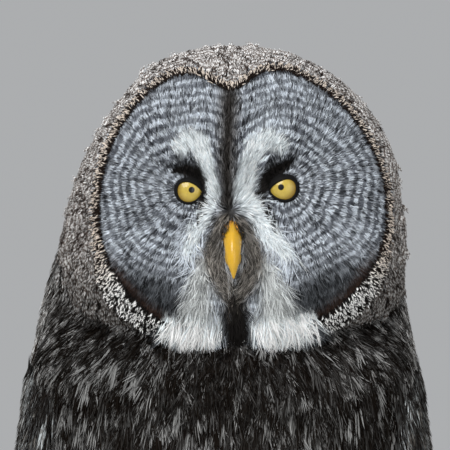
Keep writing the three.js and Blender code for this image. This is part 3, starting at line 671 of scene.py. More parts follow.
def tufts(surface, a, b, flow, near, rng, long, tip, per=8, spread=(0.8, 1.2), stations=3, outward=1,
          lean=0.15, fan=0.12, depth=1.2):
    """Hairs in tufts: per hairs lie spread millimetres across and along from each root (a, b), fan out from
    its middle, and rise from depth below the surface to tip above it. One that loses its way, at a pole or an
    edge of the surface, is laid straight. own is the tuft of each hair and off its place across the tuft."""
    own = np.repeat(np.arange(len(a)), per)
    p, pa, pb, n = tangents(surface, a, b, near, outward)
    f = flow_at(flow, p, a, b, n)
    off, back = rng.normal(0, 1, (2, len(own)))
    move = column(spread[0] * off) * np.cross(n, f)[own] + column(spread[1] * back) * f[own]
    a1, b1 = moved(a[own], b[own], pa[own], pb[own], move)
    swing = rng.normal(0, lean, len(a))[own] + fan * off + rng.normal(0, 0.4 * lean, len(own))
    curl = rng.normal(0, 0.8 * lean, len(a))[own] + rng.normal(0, 0.3 * lean, len(own))
    reach = long[own] * rng.uniform(0.8, 1.12, len(own))
    path, normals = comb(surface, a1, b1, flow, reach, stations, near, outward, swing, curl)
    straight = path[:, :1] + f[own][:, None] * column(column(reach) * np.linspace(0, 1, stations))
    astray = np.linalg.norm(path - straight, axis=-1).max(1) > reach
    path[astray] = straight[astray]
    rise = column(tip[own] * (1.1 - 0.25 * np.minimum(np.abs(off), 2))) * np.linspace(0, 1, stations) ** 0.8
    lift = column(rise - depth * np.linspace(1, 0, stations) ** 2)
    return path + normals * lift, normals, own, off


def hair_tones(rng, tones, own, spread, power=1):
    """Paleness of each hair: its tuft's, changed by about spread, between 0 and 1, to a power."""
    return np.clip(tones[own] + rng.normal(0, spread, len(own)), 0, 1) ** power


def blade_faces(mids):
    """Triangles of one blade, from vertex 0 at its root to the last at its tip. With one middle station it
    holds the left and the right edge; with more, each is a ring of left edge, ridge and right edge."""
    if mids == 1:
        return np.array([(0, 2, 1), (1, 2, 3), (0, 1, 3), (0, 3, 2)])
    faces = [(0, 2, 1), (0, 3, 2), (0, 1, 3)]
    for m in range(mids - 1):
        a, b = 1 + 3 * m, 4 + 3 * m
        for j in range(3):
            k = (j + 1) % 3
            faces += [(a + j, a + k, b + k), (a + j, b + k, b + j)]
    a, tip = 3 * mids - 2, 3 * mids + 1
    return np.array(faces + [(a, a + 1, tip), (a + 1, a + 2, tip), (a + 2, a, tip)])


def blades(path, normals, width, ridge, unwrap, plume, band=0.0, mark=0.0):
    """Closed lancet blades along paths. path and normals are (n, k, 3), plume is (n, k, 3), and band and mark
    have a value for each station or one for all. A station has its edges at half the width to each side and
    its ridge above, and the one of a short blade stands above the line from root to tip. unwrap is each
    root's place on the unwrapped skin, and the blade is a patch of PATCH about it."""
    n, k = path.shape[:2]
    mids = k - 2
    way = unit(np.gradient(path, axis=1))
    side = unit(np.cross(way, normals))[:, 1:-1]
    half = np.broadcast_to(width, (n, mids)) / 2
    high = column(half * ridge)
    middle, up = path[:, 1:-1], normals[:, 1:-1]
    corners = [middle - side * column(half), middle + up * high, middle + side * column(half)]
    if mids == 1:
        above = np.sum((middle - (path[:, :1] + path[:, 2:]) / 2) * up, axis=-1, keepdims=True)
        corners = [corner + up * np.maximum(0, high - above) for corner in corners[::2]]
    each = len(corners)
    ring = np.stack(corners, axis=2).reshape(n, each * mids, 3)
    points = np.concatenate([path[:, :1], ring, path[:, -1:]], axis=1)

    def spread(values):
        """Gives each corner its station's value."""
        values = np.broadcast_to(values, (n, k, *np.shape(values)[2:]))
        inner = np.repeat(values[:, 1:-1], each, axis=1)
        return np.concatenate([values[:, :1], inner, values[:, -1:]], axis=1)

    along = spread(np.linspace(0, 1, k))
    across = np.concatenate([[0.5], np.tile(np.linspace(0, 1, each), mids), [0.5]])
    local = np.stack([np.broadcast_to(across, along.shape), along], axis=-1)
    bake = unwrap[:, None, :] + PATCH * (local - 0.5)
    return {
        "points": points.reshape(-1, 3),
        "faces": (blade_faces(mids) + (np.arange(n) * (each * mids + 2))[:, None, None]).reshape(-1, 3),
        "plume": spread(plume).reshape(-1, 3), "band": spread(band).reshape(-1),
        "mark": spread(mark).reshape(-1), "bake": bake.reshape(-1, 2),
    }


def join_parts(parts):
    """One part from several, with their faces counted on."""
    start, faces = 0, []
    for part in parts:
        faces.append(part["faces"] + start)
        start += len(part["points"])
    joined = {key: np.concatenate([p[key] for p in parts]) for key in parts[0] if key != "faces"}
    return {**joined, "faces": np.concatenate(faces)}


def set_plume(mesh, colours):
    """Stores a colour for each vertex."""
    rgba = np.ones((len(colours), 4), np.float32)
    rgba[:, :3] = np.clip(colours, 0, 1)
    mesh.attributes.new("plume", "FLOAT_COLOR", "POINT").data.foreach_set("color", rgba.ravel())


def put(name, data):
    """Puts a mesh, lamp or camera into the scene."""
    obj = bpy.data.objects.new(name, data)
    bpy.context.scene.collection.objects.link(obj)
    return obj


def make_object(name, part, material, smooth=False):
    """A mesh object at the origin from arrays of points, triangles and attributes."""
    mesh = bpy.data.meshes.new(name)
    points, faces = to_row(part["points"]), part["faces"]
    mesh.vertices.add(len(points))
    mesh.vertices.foreach_set("co", points.astype(np.float32).ravel())
    mesh.loops.add(faces.size)
    mesh.loops.foreach_set("vertex_index", faces.astype(np.int32).ravel())
    mesh.polygons.add(len(faces))
    mesh.polygons.foreach_set("loop_start", np.arange(0, faces.size, 3, dtype=np.int32))
    mesh.update(calc_edges=True)
    mesh.polygons.foreach_set("use_smooth", np.full(len(faces), smooth))
    if "plume" in part:
        set_plume(mesh, part["plume"])
    for key in ("band", "mark"):
        if key in part:
            mesh.attributes.new(key, "FLOAT", "POINT").data.foreach_set("value", part[key].astype(np.float32))
    for key, layer in (("bake", "OFBake"), ("vane", "Vane")):
        if key in part:
            uv = mesh.uv_layers.new(name=layer)
            uv.uv.foreach_set("vector", part[key][faces.ravel()].astype(np.float32).ravel())
    obj = put(name, mesh)
    obj.data.materials.append(material)
    return obj


def add_piece(obj, slot, *nodes):
    """Sets a piece on the owl's body and hides the solids it replaces. slot, the finish it stands for, is not
    used.
    """
    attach(obj, "root")
    if nodes:
        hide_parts(*nodes)


def add_smooth(name, part, material, slot, *nodes):
    """A piece with a smooth surface."""
    add_piece(make_object(name, part, material, smooth=True), slot, *nodes)


def add_coat(name, part, kind, slot="plumage"):
    """A piece of the coat."""
    add_piece(make_object(name, part, plumage_material(kind)), slot)


def shade(colours, shares):
    """Colours of blades along their length: colours is (n, 3) and shares the brightness at each station. A
    low share at the root is painted shade under the coat, and a share above 1 at the tip is painted light.
    """
    return colours[:, None, :] * np.asarray(shares)[None, :, None]


def two_tone(rng, count, pale_share, spread=0.12):
    """Paleness of feathers, most of them clearly pale or clearly dark."""
    tone = np.where(rng.random(count) < pale_share, 0.85, 0.15)
    return np.clip(tone + rng.normal(0, spread, count), 0, 1)


# Colours of the coat, which the skin takes too.
def face_marks(x, z):
    """How much of each mark lies at a place of the face."""
    def both(marks, edge):
        return np.maximum(stroke(x, z, marks["left"], edge), stroke(x, z, marks["right"], edge))

    wide = [(a, b, SHADOW_WIDTH * half) for a, b, half in STRIPE]
    rims = 1 - ramp(0.98, 1.16, eye_share(x, z))
    return {
        "shadow": stroke(x, z, wide, 0.6), "white": both(WHITE_MARKS, 0.35), "tuft": both(PALE_TUFTS, 0.5),
        "stripe": stroke(x, z, STRIPE, 0.7), "moustache": both(MOUSTACHES, 0.3), "lore": both(LORES, 0.45),
        "black": np.maximum(both(BLACK_MARKS, 0.42), rims), "chin": stroke(x, z, CHIN, 0.5),
    }


def rim_share(x, z):
    """1 at the rim of the disc and 0 in its middle."""
    return np.hypot(x, z) / disc_rim(np.arctan2(z, x))


def low_disc(x, z):
    """The dark lower part of the disc, beside the tufts."""
    return ramp(0.52, 0.82, rim_share(x, z)) * ramp(-18, -42, z) * ramp(16, 28, np.abs(x))


def face_colour(x, z, pale):
    """Colour of the face, with pale running from 0 for its dark barbs to 1 for its pale ones."""
    marks = face_marks(x, z)
    base = mix(tint("disc_dark"), tint("disc_pale"), column(pale))
    base = mix(base, base * 0.15, column(low_disc(x, z)))
    band = bell((rim_share(x, z) - 0.965) / 0.04) * ramp(-14, -36, z) * ramp(24, 34, np.abs(x))
    base = mix(base, tint("chocolate"), column(band))
    top = bell((rim_share(x, z) - 0.99) / 0.028) * ramp(-10, 10, z)
    base = mix(base, mix(tint("rim_dark"), tint("disc_dark"), column(pale)), column(0.75 * top))
    for key, name, least, most, cover in (  # mark, colour, its brightness at pale 0 and 1, opacity
        ("shadow", "shadow", 0.3, 1.3, 0.75), ("stripe", "stripe", 0.35, 1.8, 0.9),
        ("tuft", "tuft", 0.28, 1.05, 1), ("white", "white", 0.38, 1.02, 1),
        # The moustache's white runs from 0.75 to 1.35 times its colour: painted light on hairs that face down
        # under the disc.
        ("moustache", "white", 0.75, 1.35, 1), ("lore", "lore", 0.12, 1.05, 0.92),
        ("black", "black", 0.5, 1.6, 1),
    ):
        base = mix(base, tint(name) * column(mix(least, most, pale)), column(cover * marks[key]))
    frayed = mix(tint("black"), tint("lore"), column(pale ** 2 * ramp(-60, -46, z)))
    return mix(base, frayed, column(marks["chin"]))


def face_tone(rng, marks):
    """Paleness of the tufts of the face: most of them pale on its white marks and dark on its dark ones."""
    share = by_mark(
        marks, 0.66, white=0.88, moustache=0.94, tuft=0.7, lore=0.46, stripe=0.36, chin=0.25, black=0.1)
    return mix(share, two_tone(rng, len(share), share), 0.7)


def ring_mark(x, z):
    """Strength of the dark rings: full on the disc, none on the white, black and brown marks."""
    marks = face_marks(x, z)
    plain = 1 - np.max([marks[k] for k in ("white", "black", "lore", "moustache", "chin", "stripe")], axis=0)
    worn = 0.6 + 0.4 * patches(x, 0 * x, z, 24, 7)
    return plain * worn * (1 - 0.5 * marks["tuft"]) * (1 - 0.5 * low_disc(x, z))


def ring_phase(x, z):
    """Distance from the nearer eye in rings, with slow waves round the eye."""
    near = np.minimum(*(np.hypot(x - c[0], z - c[2]) for c in EYE_CENTRES.values()))
    wave = 0.2 * np.sin(x / 6.1) + 0.2 * np.sin(z / 5.3 + 1)
    return near / size_of("ring_spacing") + wave


def crown_colour(p, pale):
    """Crown, sides and nape: pale grey on top, browner and darker down the cheeks."""
    local = to_head(p)
    down = column(ramp(60, -20, local[..., 2]))
    # The lower front of the head is darkened towards the breast's dark: painted shade in the fold above the
    # breast.
    low = column(ramp(-15, -62, local[..., 2]) * ramp(45, -5, local[..., 1]))
    ground = mix(mix(tint("crown_pale"), tint("crown_pale") * 0.62, down), tint("crown_pale") * 0.3, low)
    dark = mix(tint("crown_dark"), tint("breast_dark_and_shade"), low)
    return mix(dark, ground, column(pale))


def body_colour(p, pale):
    """Breast below the face dark, its streaks deepened by painted shade under the head; grey-brown nape and
    sides, and a paler belly.
    """
    low, aft = column(ramp(350, 270, p[..., 2])), column(ramp(-15, 35, p[..., 1]))
    dark = mix(mix(tint("breast_dark_and_shade"), tint("crown_dark") * 0.8, aft), tint("belly_dark"), low)
    light = mix(mix(tint("breast_pale"), tint("crown_pale") * 0.7, aft), tint("belly_pale"), low)
    return mix(dark, light, column(pale))


def leg_colour(pale):
    """Brown bars and pale ground of the legs."""
    return mix(tint("leg_dark"), tint("leg_pale"), column(pale))


# Shaders. A group gives only colours, masks and heights; each material holds its own shader.
def new_group(name, inputs, outputs):
    """An empty node group with its sockets, as (kind, label, value) and (kind, label)."""
    group = bpy.data.node_groups.new(name, "ShaderNodeTree")
    for kind, label, value in inputs:
        socket = group.interface.new_socket(label, in_out="INPUT", socket_type=f"NodeSocket{kind}")
        if value is not None:
            socket.default_value = value
    for kind, label in outputs:
        group.interface.new_socket(label, in_out="OUTPUT", socket_type=f"NodeSocket{kind}")
    source, sink = group.nodes.new("NodeGroupInput"), group.nodes.new("NodeGroupOutput")
    return group, source.outputs, sink.inputs


class Wiring:
    """Adds nodes to a tree. An argument that is a socket is linked and any other is set as the value."""

    def __init__(self, tree):
        self.tree = tree

    def feed(self, socket, value):
        if isinstance(value, bpy.types.NodeSocket):
            self.tree.links.new(value, socket)
        else:
            socket.default_value = value

    def node(self, kind, values, **settings):
        """Adds a node with its settings, and feeds its inputs by label or number. Returns its outputs."""
        node = self.tree.nodes.new(f"ShaderNode{kind}")
        for key, value in settings.items():
            setattr(node, key, value)
        for key, value in values.items():
            self.feed(node.inputs[key], value)
        return node.outputs

    def math(self, kind, *values):
        return self.node("Math", dict(enumerate(values)), operation=kind)[0]

    def plus(self, a, b):
        return self.math("ADD", a, b)

    def minus(self, a, b):
        return self.math("SUBTRACT", a, b)

    def times(self, a, b):
        return self.math("MULTIPLY", a, b)

    def step(self, value, low, high):
        values = {"Value": value, "From Min": low, "From Max": high}
        return self.node("MapRange", values, interpolation_type="SMOOTHSTEP")["Result"]

    def mix(self, factor, a, b, kind="MIX"):
        return self.node("Mix", {0: factor, 6: a, 7: b}, data_type="RGBA", blend_type=kind)[2]

    def noise(self, vector, scale, detail=3.0, roughness=0.55):
        values = {"Vector": vector, "Scale": scale, "Detail": detail, "Roughness": roughness}
        return self.node("TexNoise", values)["Fac"]

    def attribute(self, name, output="Fac"):
        return self.node("Attribute", {}, attribute_name=name)[output]

    def place(self):
        return self.node("TexCoord", {})["Object"]

    def uv(self, name):
        return self.node("UVMap", {}, uv_map=name)["UV"]

    def parts(self, vector):
        return self.node("SeparateXYZ", {0: vector})

    def vector(self, x, y, z=0.0):
        return self.node("CombineXYZ", {0: x, 1: y, 2: z})[0]

    def bump(self, height, strength, distance):
        return self.node("Bump", {"Height": height, "Strength": strength, "Distance": distance})["Normal"]

    def group(self, name, **values):
        """Adds a shared group, which is made at its first use."""
        group = bpy.data.node_groups.get(name) or NODE_GROUPS[name](name)
        node = self.tree.nodes.new("ShaderNodeGroup")
        node.node_tree = group
        for label, value in values.items():
            self.feed(node.inputs[label], value)
        return node.outputs

    def scaled(self, colour, level):
        """A colour times a number."""
        return self.mix(1.0, colour, self.vector(level, level, level), "MULTIPLY")

    def wear(self, shader, colour, scale, amount, relief, height=None):
        """Feeds a mottled colour and a bump of (strength, distance) into a shader."""
        worn = self.group("Mottle", Color=colour, Scale=scale, Amount=amount)
        self.feed(shader["Base Color"], worn["Color"])
        self.feed(shader["Normal"], self.bump(worn["Height"] if height is None else height, *relief))


def bars_group(name):
    """Dark bars where the sine of the band is high, broken up by noise, with strength mark."""
    group, given, result = new_group(
        name,
        [("Color", "Plume", (1, 1, 1, 1)), ("Float", "Band", 0.0), ("Float", "Mark", 0.0),
         ("Color", "Bar", (0, 0, 0, 1)), ("Float", "Cover", 0.5)],
        [("Color", "Color"), ("Float", "Mask")])
    w = Wiring(group)
    ragged = w.times(w.minus(w.noise(w.place(), 260.0, 2.0), 0.5), 0.9)
    wave = w.math("SINE", w.times(w.plus(given["Band"], ragged), 2 * math.pi))
    low = w.minus(w.times(given["Cover"], -2.0), -0.75)
    dark = w.step(wave, low, w.plus(low, 0.6))
    mask = w.times(dark, given["Mark"])
    tinted = w.mix(1.0, given["Plume"], given["Bar"], "MULTIPLY")
    w.feed(result["Color"], w.mix(mask, given["Plume"], tinted))
    w.feed(result["Mask"], mask)
    return group


def mottle_group(name):
    """Fine and coarse noise that makes a colour paler and darker, and a height for the relief."""
    group, given, result = new_group(
        name, [("Color", "Color", (1, 1, 1, 1)), ("Float", "Scale", 400.0), ("Float", "Amount", 0.3)],
        [("Color", "Color"), ("Float", "Height")])
    w = Wiring(group)
    fine = w.noise(w.place(), given["Scale"], 4.0, 0.6)
    coarse = w.noise(w.place(), w.times(given["Scale"], 0.12), 2.0)
    both = w.plus(w.times(fine, 0.6), w.times(coarse, 0.4))
    change = w.times(w.minus(both, 0.5), w.times(given["Amount"], 4.0))
    w.feed(result["Color"], w.scaled(given["Color"], w.plus(1.0, change)))
    w.feed(result["Height"], fine)
    return group


def barbs_group(name):
    """Slanting barbs beside the shaft of a vane, from its map: u is -1 to 1 across it, v is millimetres
    along it."""
    group, given, result = new_group(
        name,
        [("Color", "Color", (1, 1, 1, 1)), ("Vector", "Map", None), ("Color", "Shaft", (0.1, 0.08, 0.06, 1))],
        [("Color", "Color"), ("Float", "Height")])
    w = Wiring(group)
    across, along, _ = w.parts(given["Map"])
    away = w.math("ABSOLUTE", across)
    slant = w.minus(along, w.times(away, 9.0))
    streak = w.noise(w.vector(w.times(across, 0.6), w.times(slant, 1.5)), 1.0, 3.0, 0.7)
    shaft = w.minus(1.0, w.step(away, 0.025, 0.06))
    streaked = w.scaled(given["Color"], w.plus(0.55, w.times(streak, 0.9)))
    w.feed(result["Color"], w.mix(w.times(shaft, 0.75), streaked, given["Shaft"]))
    w.feed(result["Height"], w.plus(streak, w.times(shaft, 0.8)))
    return group


NODE_GROUPS = {"FeatherBars": bars_group, "Mottle": mottle_group, "VaneBarbs": barbs_group}


def material_of(name, wire, roughness, specular=0.5, coat=0.0):
    """A material by name. At its first use it is made, with the shader's fixed numbers set on the shader
    itself and the rest by wire(w, shader)."""
    material = bpy.data.materials.get(name)
    if material is None:
        material = bpy.data.materials.new(name)
        material.use_nodes = True
        shader = material.node_tree.nodes["Principled BSDF"].inputs
        for label, value in (("Roughness", roughness), ("Coat Weight", coat), ("Coat Roughness", 0.04),
                             ("Specular IOR Level", specular)):
            shader[label].default_value = value
        wire(Wiring(material.node_tree), shader)
    return material


def barred(w, kind):
    """The plume attribute with the bars of its kind."""
    bar, cover = BARS[kind]
    return w.group("FeatherBars", Plume=w.attribute("plume", "Color"), Band=w.attribute("band"),
                   Mark=w.attribute("mark"), Bar=(*bar, 1), Cover=cover)["Color"]


def plumage_material(kind):
    """Blades of the coat, barred by their band attribute."""
    def wire(w, shader):
        w.wear(shader, barred(w, kind), 700.0, 0.25, (0.35, 0.0003))

    return material_of(f"{kind}_plumage", wire, 0.8, 0.05)


def vane_material():
    """Large feathers of wings and tail, with bars, barbs and a shaft."""
    def wire(w, shader):
        barbs = w.group("VaneBarbs", Color=barred(w, "vane"), Map=w.uv("Vane"), Shaft=paint("wing_dark"))
        w.wear(shader, barbs["Color"], 500.0, 0.3, (0.5, 0.0005), barbs["Height"])

    return material_of("flight_vane", wire, 0.62, 0.25)


def skin_material():
    """Down between the feathers, in the coat's own colours but darker."""
    def wire(w, shader):
        w.wear(shader, w.attribute("plume", "Color"), 500.0, 0.5, (0.6, 0.001))

    return material_of("down_skin", wire, 0.95, 0.1)


def lid_material():
    """Bare dark skin with a fine grain."""
    def wire(w, shader):
        w.wear(shader, paint("lid"), 900.0, 0.35, (0.5, 0.0004))

    return material_of("eyelid", wire, 0.7, 0.15)


def floor_material():
    """Plain studio floor."""
    def wire(w, shader):
        w.wear(shader, paint("floor"), 30.0, 0.05, (0.1, 0.001))

    return material_of("studio_floor", wire, 0.75)


def iris_material():
    """Rays and rings of the iris round a sharp pupil. The map holds the angle and the millimetres from the
    pupil's middle."""
    def wire(w, shader):
        turn, away, _ = w.parts(w.uv("Vane"))
        fine = w.noise(w.vector(w.times(turn, 60.0), w.times(away, 0.5)), 1.0, 3.0, 0.6)
        soft = w.noise(w.vector(w.times(turn, 8.0), w.times(away, 0.35)), 1.0, 2.0)
        gold = w.mix(w.step(away, 4.2, 8.2), paint("iris"), paint("iris_rim"))
        rays = w.plus(w.times(fine, 0.3), w.times(soft, 0.3))
        rayed = w.scaled(gold, w.plus(0.72, rays))
        ringed = w.mix(w.minus(1.0, w.step(away, 1.55, 1.95)), rayed, paint("iris", 0.35))
        pupil = w.minus(1.0, w.step(away, 1.5, 1.66))
        w.feed(shader["Base Color"], w.mix(pupil, ringed, paint("pupil")))

    return material_of("iris", wire, 0.3, 0.15, 0.7)


def horn_material(name, base, tip, roughness, coat):
    """Smooth horn with fine growth lines. mark runs from 0 at its base to 1 at its tip."""
    def wire(w, shader):
        along = w.attribute("mark")
        grown = w.mix(w.step(along, 0.12, 0.5), paint(base), paint(tip))
        worn = w.group("Mottle", Color=grown, Scale=260.0, Amount=0.16)
        lines = w.noise(w.vector(w.times(along, 30.0), 0.0), 1.0, 2.0)
        w.feed(shader["Base Color"], worn["Color"])
        w.feed(shader["Roughness"], w.plus(roughness, w.times(worn["Height"], 0.14)))
        w.feed(shader["Normal"], w.bump(w.plus(lines, worn["Height"]), 0.25, 0.0003))

    return material_of(name, wire, roughness, coat=coat)


# Skin.
def ring_faces(rows, columns, closed=False):
    """Two triangles for each face of a grid of rings, which has a ring after the last one if closed."""
    r, c = np.meshgrid(np.arange(rows if closed else rows - 1), np.arange(columns), indexing="ij")
    ahead = (r + 1) % rows * columns
    a, b = r * columns + c, r * columns + (c + 1) % columns
    d, e = ahead + c, ahead + (c + 1) % columns
    return [np.stack([a, b, e], -1).reshape(-1, 3), np.stack([a, e, d], -1).reshape(-1, 3)]


def shell(rings):
    """A closed surface from rings of points (rows, columns, 3), with a fan over each end."""
    rows, columns = rings.shape[:2]
    c = np.arange(columns)
    first, last, far = rows * columns, rows * columns + 1, (rows - 1) * columns
    fans = [np.stack([np.full(columns, first), (c + 1) % columns, c], -1),
            np.stack([np.full(columns, last), far + c, far + (c + 1) % columns], -1)]
    points = np.concatenate([rings.reshape(-1, 3), rings[0].mean(0)[None], rings[-1].mean(0)[None]])
    return outward({"points": points, "faces": np.concatenate(ring_faces(rows, columns) + fans)})


def outward(part):
    """Turns the faces of one closed part outwards, by the sign of its volume."""
    p = part["points"][part["faces"]]
    if np.sum(np.cross(p[:, 0], p[:, 1]) * p[:, 2]) < 0:
        part["faces"] = part["faces"][:, ::-1].copy()
    return part


def tube_shell(surface, grow, t_range=(0, 1), steps=28):
    """A closed tube from a surface of t along it and an angle round it."""
    t, angle = np.meshgrid(np.linspace(*t_range, steps), circle(steps), indexing="ij")
    return shell(surface(t, angle, grow))


def leg_surfaces(side):
    """Thigh, shank and toes of one leg, each as a tube."""
    thigh = tube_surface(on_leg(THIGH_LINE, side), THIGH_RADII, THIGH_DEPTH)
    shank = tube_surface(on_leg(SHANK_LINE, side), SHANK_RADII)
    toes = [tube_surface(toe_line(side, toe), [k * toe[2] for k in TOE_TAPER]) for toe in TOES.values()]
    return [thigh, shank, *toes]


def skin_shells():
    """Closed shells of head, body and legs, under the coat by its depth or a share of it."""
    depth = size_of("coat_depth")
    u, phi = np.meshgrid(np.linspace(0.02, 1.98, 110), circle(120), indexing="ij")
    head = settled_head(phi, u)
    inward = np.where(column(u) < 1, 0.75, 1) * depth
    shells = [shell(head - inward * unit(head - HEAD_CENTRE))]
    shells.append(tube_shell(plump_body, -depth, (0.0, 0.97), 60))
    for _, side in SIDES:
        thigh, shank, *toes = leg_surfaces(side)
        shells += [tube_shell(thigh, -depth), tube_shell(shank, -0.6 * depth)]
        shells += [tube_shell(toe, -0.3 * depth) for toe in toes]
    return shells


def skin_colour(p):
    """The coat's colours at any place of the skin, at 0.62 of their brightness."""
    pale = 0.25 + 0.3 * patches(p[:, 0], p[:, 1], p[:, 2], 9, 3)
    local = to_head(p)
    x, y, z = local.T
    face = ramp(-12, -24, y) * (rim_share(x, z) < 1.0)
    head = mix(crown_colour(p, pale), face_colour(x, z, pale), column(face))
    tail_end = column(ramp(122, 96, p[:, 2]))
    body = mix(body_colour(p, pale), leg_colour(pale), tail_end)
    return 0.62 * mix(body, head, column(ramp(372, 396, p[:, 2] + 0.31 * (p[:, 1] + 75))))


def build_skin():
    """Joins the shells into one skin by a voxel remesh, keeps it above the floor and colours it."""
    rough = make_object("skin_shells", join_parts(skin_shells()), skin_material())
    remesh = rough.modifiers.new("Joined", "REMESH")
    remesh.mode, remesh.voxel_size = "VOXEL", sizes().skin_grain
    relax = rough.modifiers.new("Relaxed", "SMOOTH")
    relax.factor, relax.iterations = 0.5, 3
    mesh = bpy.data.meshes.new_from_object(rough.evaluated_get(bpy.context.evaluated_depsgraph_get()))
    bpy.data.objects.remove(rough)
    mesh.name = "skin"
    points = np.empty(len(mesh.vertices) * 3, np.float32)
    mesh.vertices.foreach_get("co", points)
    points[2::3] = np.maximum(points[2::3], MM)
    mesh.vertices.foreach_set("co", points)
    set_plume(mesh, skin_colour(points.reshape(-1, 3).astype(float) / MM - SHIFT))
    mesh.polygons.foreach_set("use_smooth", np.full(len(mesh.polygons), True))
    skin = put("skin", mesh)
    legs = [f"{part}_{side}" for part in ("thigh", "shank", "foot") for side, _ in SIDES]
    add_piece(skin, "plumage", "head", "neck", "torso", *legs)


# Face.
def eye_share(x, z):
    """1 at the outer edge of the lids of the nearer eye, and more beyond it."""
    wide, high = LID_EDGE
    return np.min([np.hypot((x - c[0]) / wide, (z - c[2]) / high) for c in EYE_CENTRES.values()], axis=0)


def bill_share(x, z):
    """1 at the middle of the bill's root, falling to 0 clear of it."""
    return (1 - ramp(3, 11, np.abs(x - BILL_X))) * ramp(-44, -36, z) * ramp(-3, -9, z)


def central(x, z):
    """1 between the eyes and below, where hairs spread from beside the bill, and 0 where they spread from an
    eye."""
    middle, left, right = FACE_SOURCE[0], EYE_CENTRES["left"][0], EYE_CENTRES["right"][0]
    beside = np.where(x > middle, left - middle, middle - right)
    near = 1 - ramp(0.5, 0.85, np.abs(x - middle) / beside)
    marks = face_marks(x, z)
    return np.max([near, *(marks[k] for k in ("white", "tuft", "moustache", "chin", "lore"))], axis=0)


def face_flow(p, x, z):
    """Away from the nearer eye on the disc, away from the bill's root between the eyes and below them, and
    together under the bill beside it."""
    nearer = np.argmin([np.hypot(x - c[0], z - c[2]) for c in EYE_CENTRES.values()], axis=0)
    centres = np.array(list(EYE_CENTRES.values()))[nearer]
    from_eye = unit(stack(x - centres[:, 0], 0, z - centres[:, 2]))
    stretch = np.where(z < FACE_SOURCE[1], 1.5, 1.15)
    from_bill = unit(stack(x - FACE_SOURCE[0], 0, (z - FACE_SOURCE[1]) * stretch))
    to_chin = unit(stack(CHIN_POINT[0] - x, 0, np.minimum(CHIN_POINT[1] - z, -4)))
    spreading = mix(from_eye, from_bill, column(central(x, z)))
    return unit(mix(spreading, to_chin, column(face_marks(x, z)["lore"] * ramp(-18, -34, z))) + 1e-6)


def by_mark(marks, plain, **values):
    """A size that is plain on the disc and takes another value where a mark is strong."""
    out = np.broadcast_to(plain, marks["white"].shape).astype(float)
    for key, value in values.items():
        out = mix(out, value, marks[key])
    return out


def face_unwrap(x, z):
    """Place on the bake map: the angle across and the distance from the middle of the face up."""
    return np.stack([np.arctan2(z, x) / (2 * np.pi) + 0.5, 0.04 + 0.92 * rim_share(x, z)], -1)


def build_disc(side_name, side):
    """One half of the facial disc, combed away from the eye."""
    rng = np.random.default_rng(11 + side)

    def weight(x, z):
        inside = (rim_share(x, z) < 1) & (eye_share(x, z) > 1) & (side * (x - FACE_SOURCE[0]) > 0)
        return inside * (1 + 0.7 * face_marks(x, z)["white"] + 1.2 * (1 - ramp(1.2, 1.8, eye_share(x, z))))

    x, z = scatter(face_surface, (-86, 90), (-80, 88), COUNTS["disc"], 21 + side, weight)
    n, marks = len(x), face_marks(x, z)
    near_eye = 1 - ramp(1.0, 2.1, eye_share(x, z))
    long = by_mark(marks, size_of("disc_feather"), white=size_of("brow_feather"), stripe=6.5, black=5, lore=8,
                   tuft=12, moustache=12, chin=9) * rng.uniform(0.7, 1.2, n)
    long *= (1 - 0.5 * near_eye) * (1 - 0.45 * ramp(0.86, 1, rim_share(x, z)) * (1 - marks["moustache"]))
    tip = by_mark(marks, 1.8, white=2.4, stripe=1.8, black=0.8, lore=2, tuft=3, moustache=4, chin=4)
    tip = tip * rng.uniform(0.1, 1.3, n) * (1 - 0.6 * near_eye) * (1 - 0.8 * bill_share(x, z))
    path, normals, own, _ = tufts(
        lidded_face, x, z, face_flow, (0.05, 0.05), rng, long, tip, per=5, spread=(0.24, 0.6), lean=0.18,
        fan=0.06)
    local = to_head(path)
    x1, _, z1 = mix(local[:, 1], local[:, 2], 0.4).T
    pale = hair_tones(rng, face_tone(rng, marks), own, 0.2, 1.4)
    plume = shade(face_colour(x1, z1, pale), (0.3, 0.95, 1.25))
    band = ring_phase(local[..., 0], local[..., 2]) + rng.normal(0, 0.09, n)[own, None]
    width = by_mark(
        marks, size_of("disc_width"), white=0.5, lore=0.45, tuft=0.5, moustache=0.55, chin=0.5)[own]
    part = blades(path, normals, column(width * rng.uniform(0.7, 1.2, len(own))), 0.5, face_unwrap(x, z)[own],
                  plume, band, 0.95 * column(ring_mark(x1, z1)))
    add_coat(f"disc_{side_name}", part, "disc")


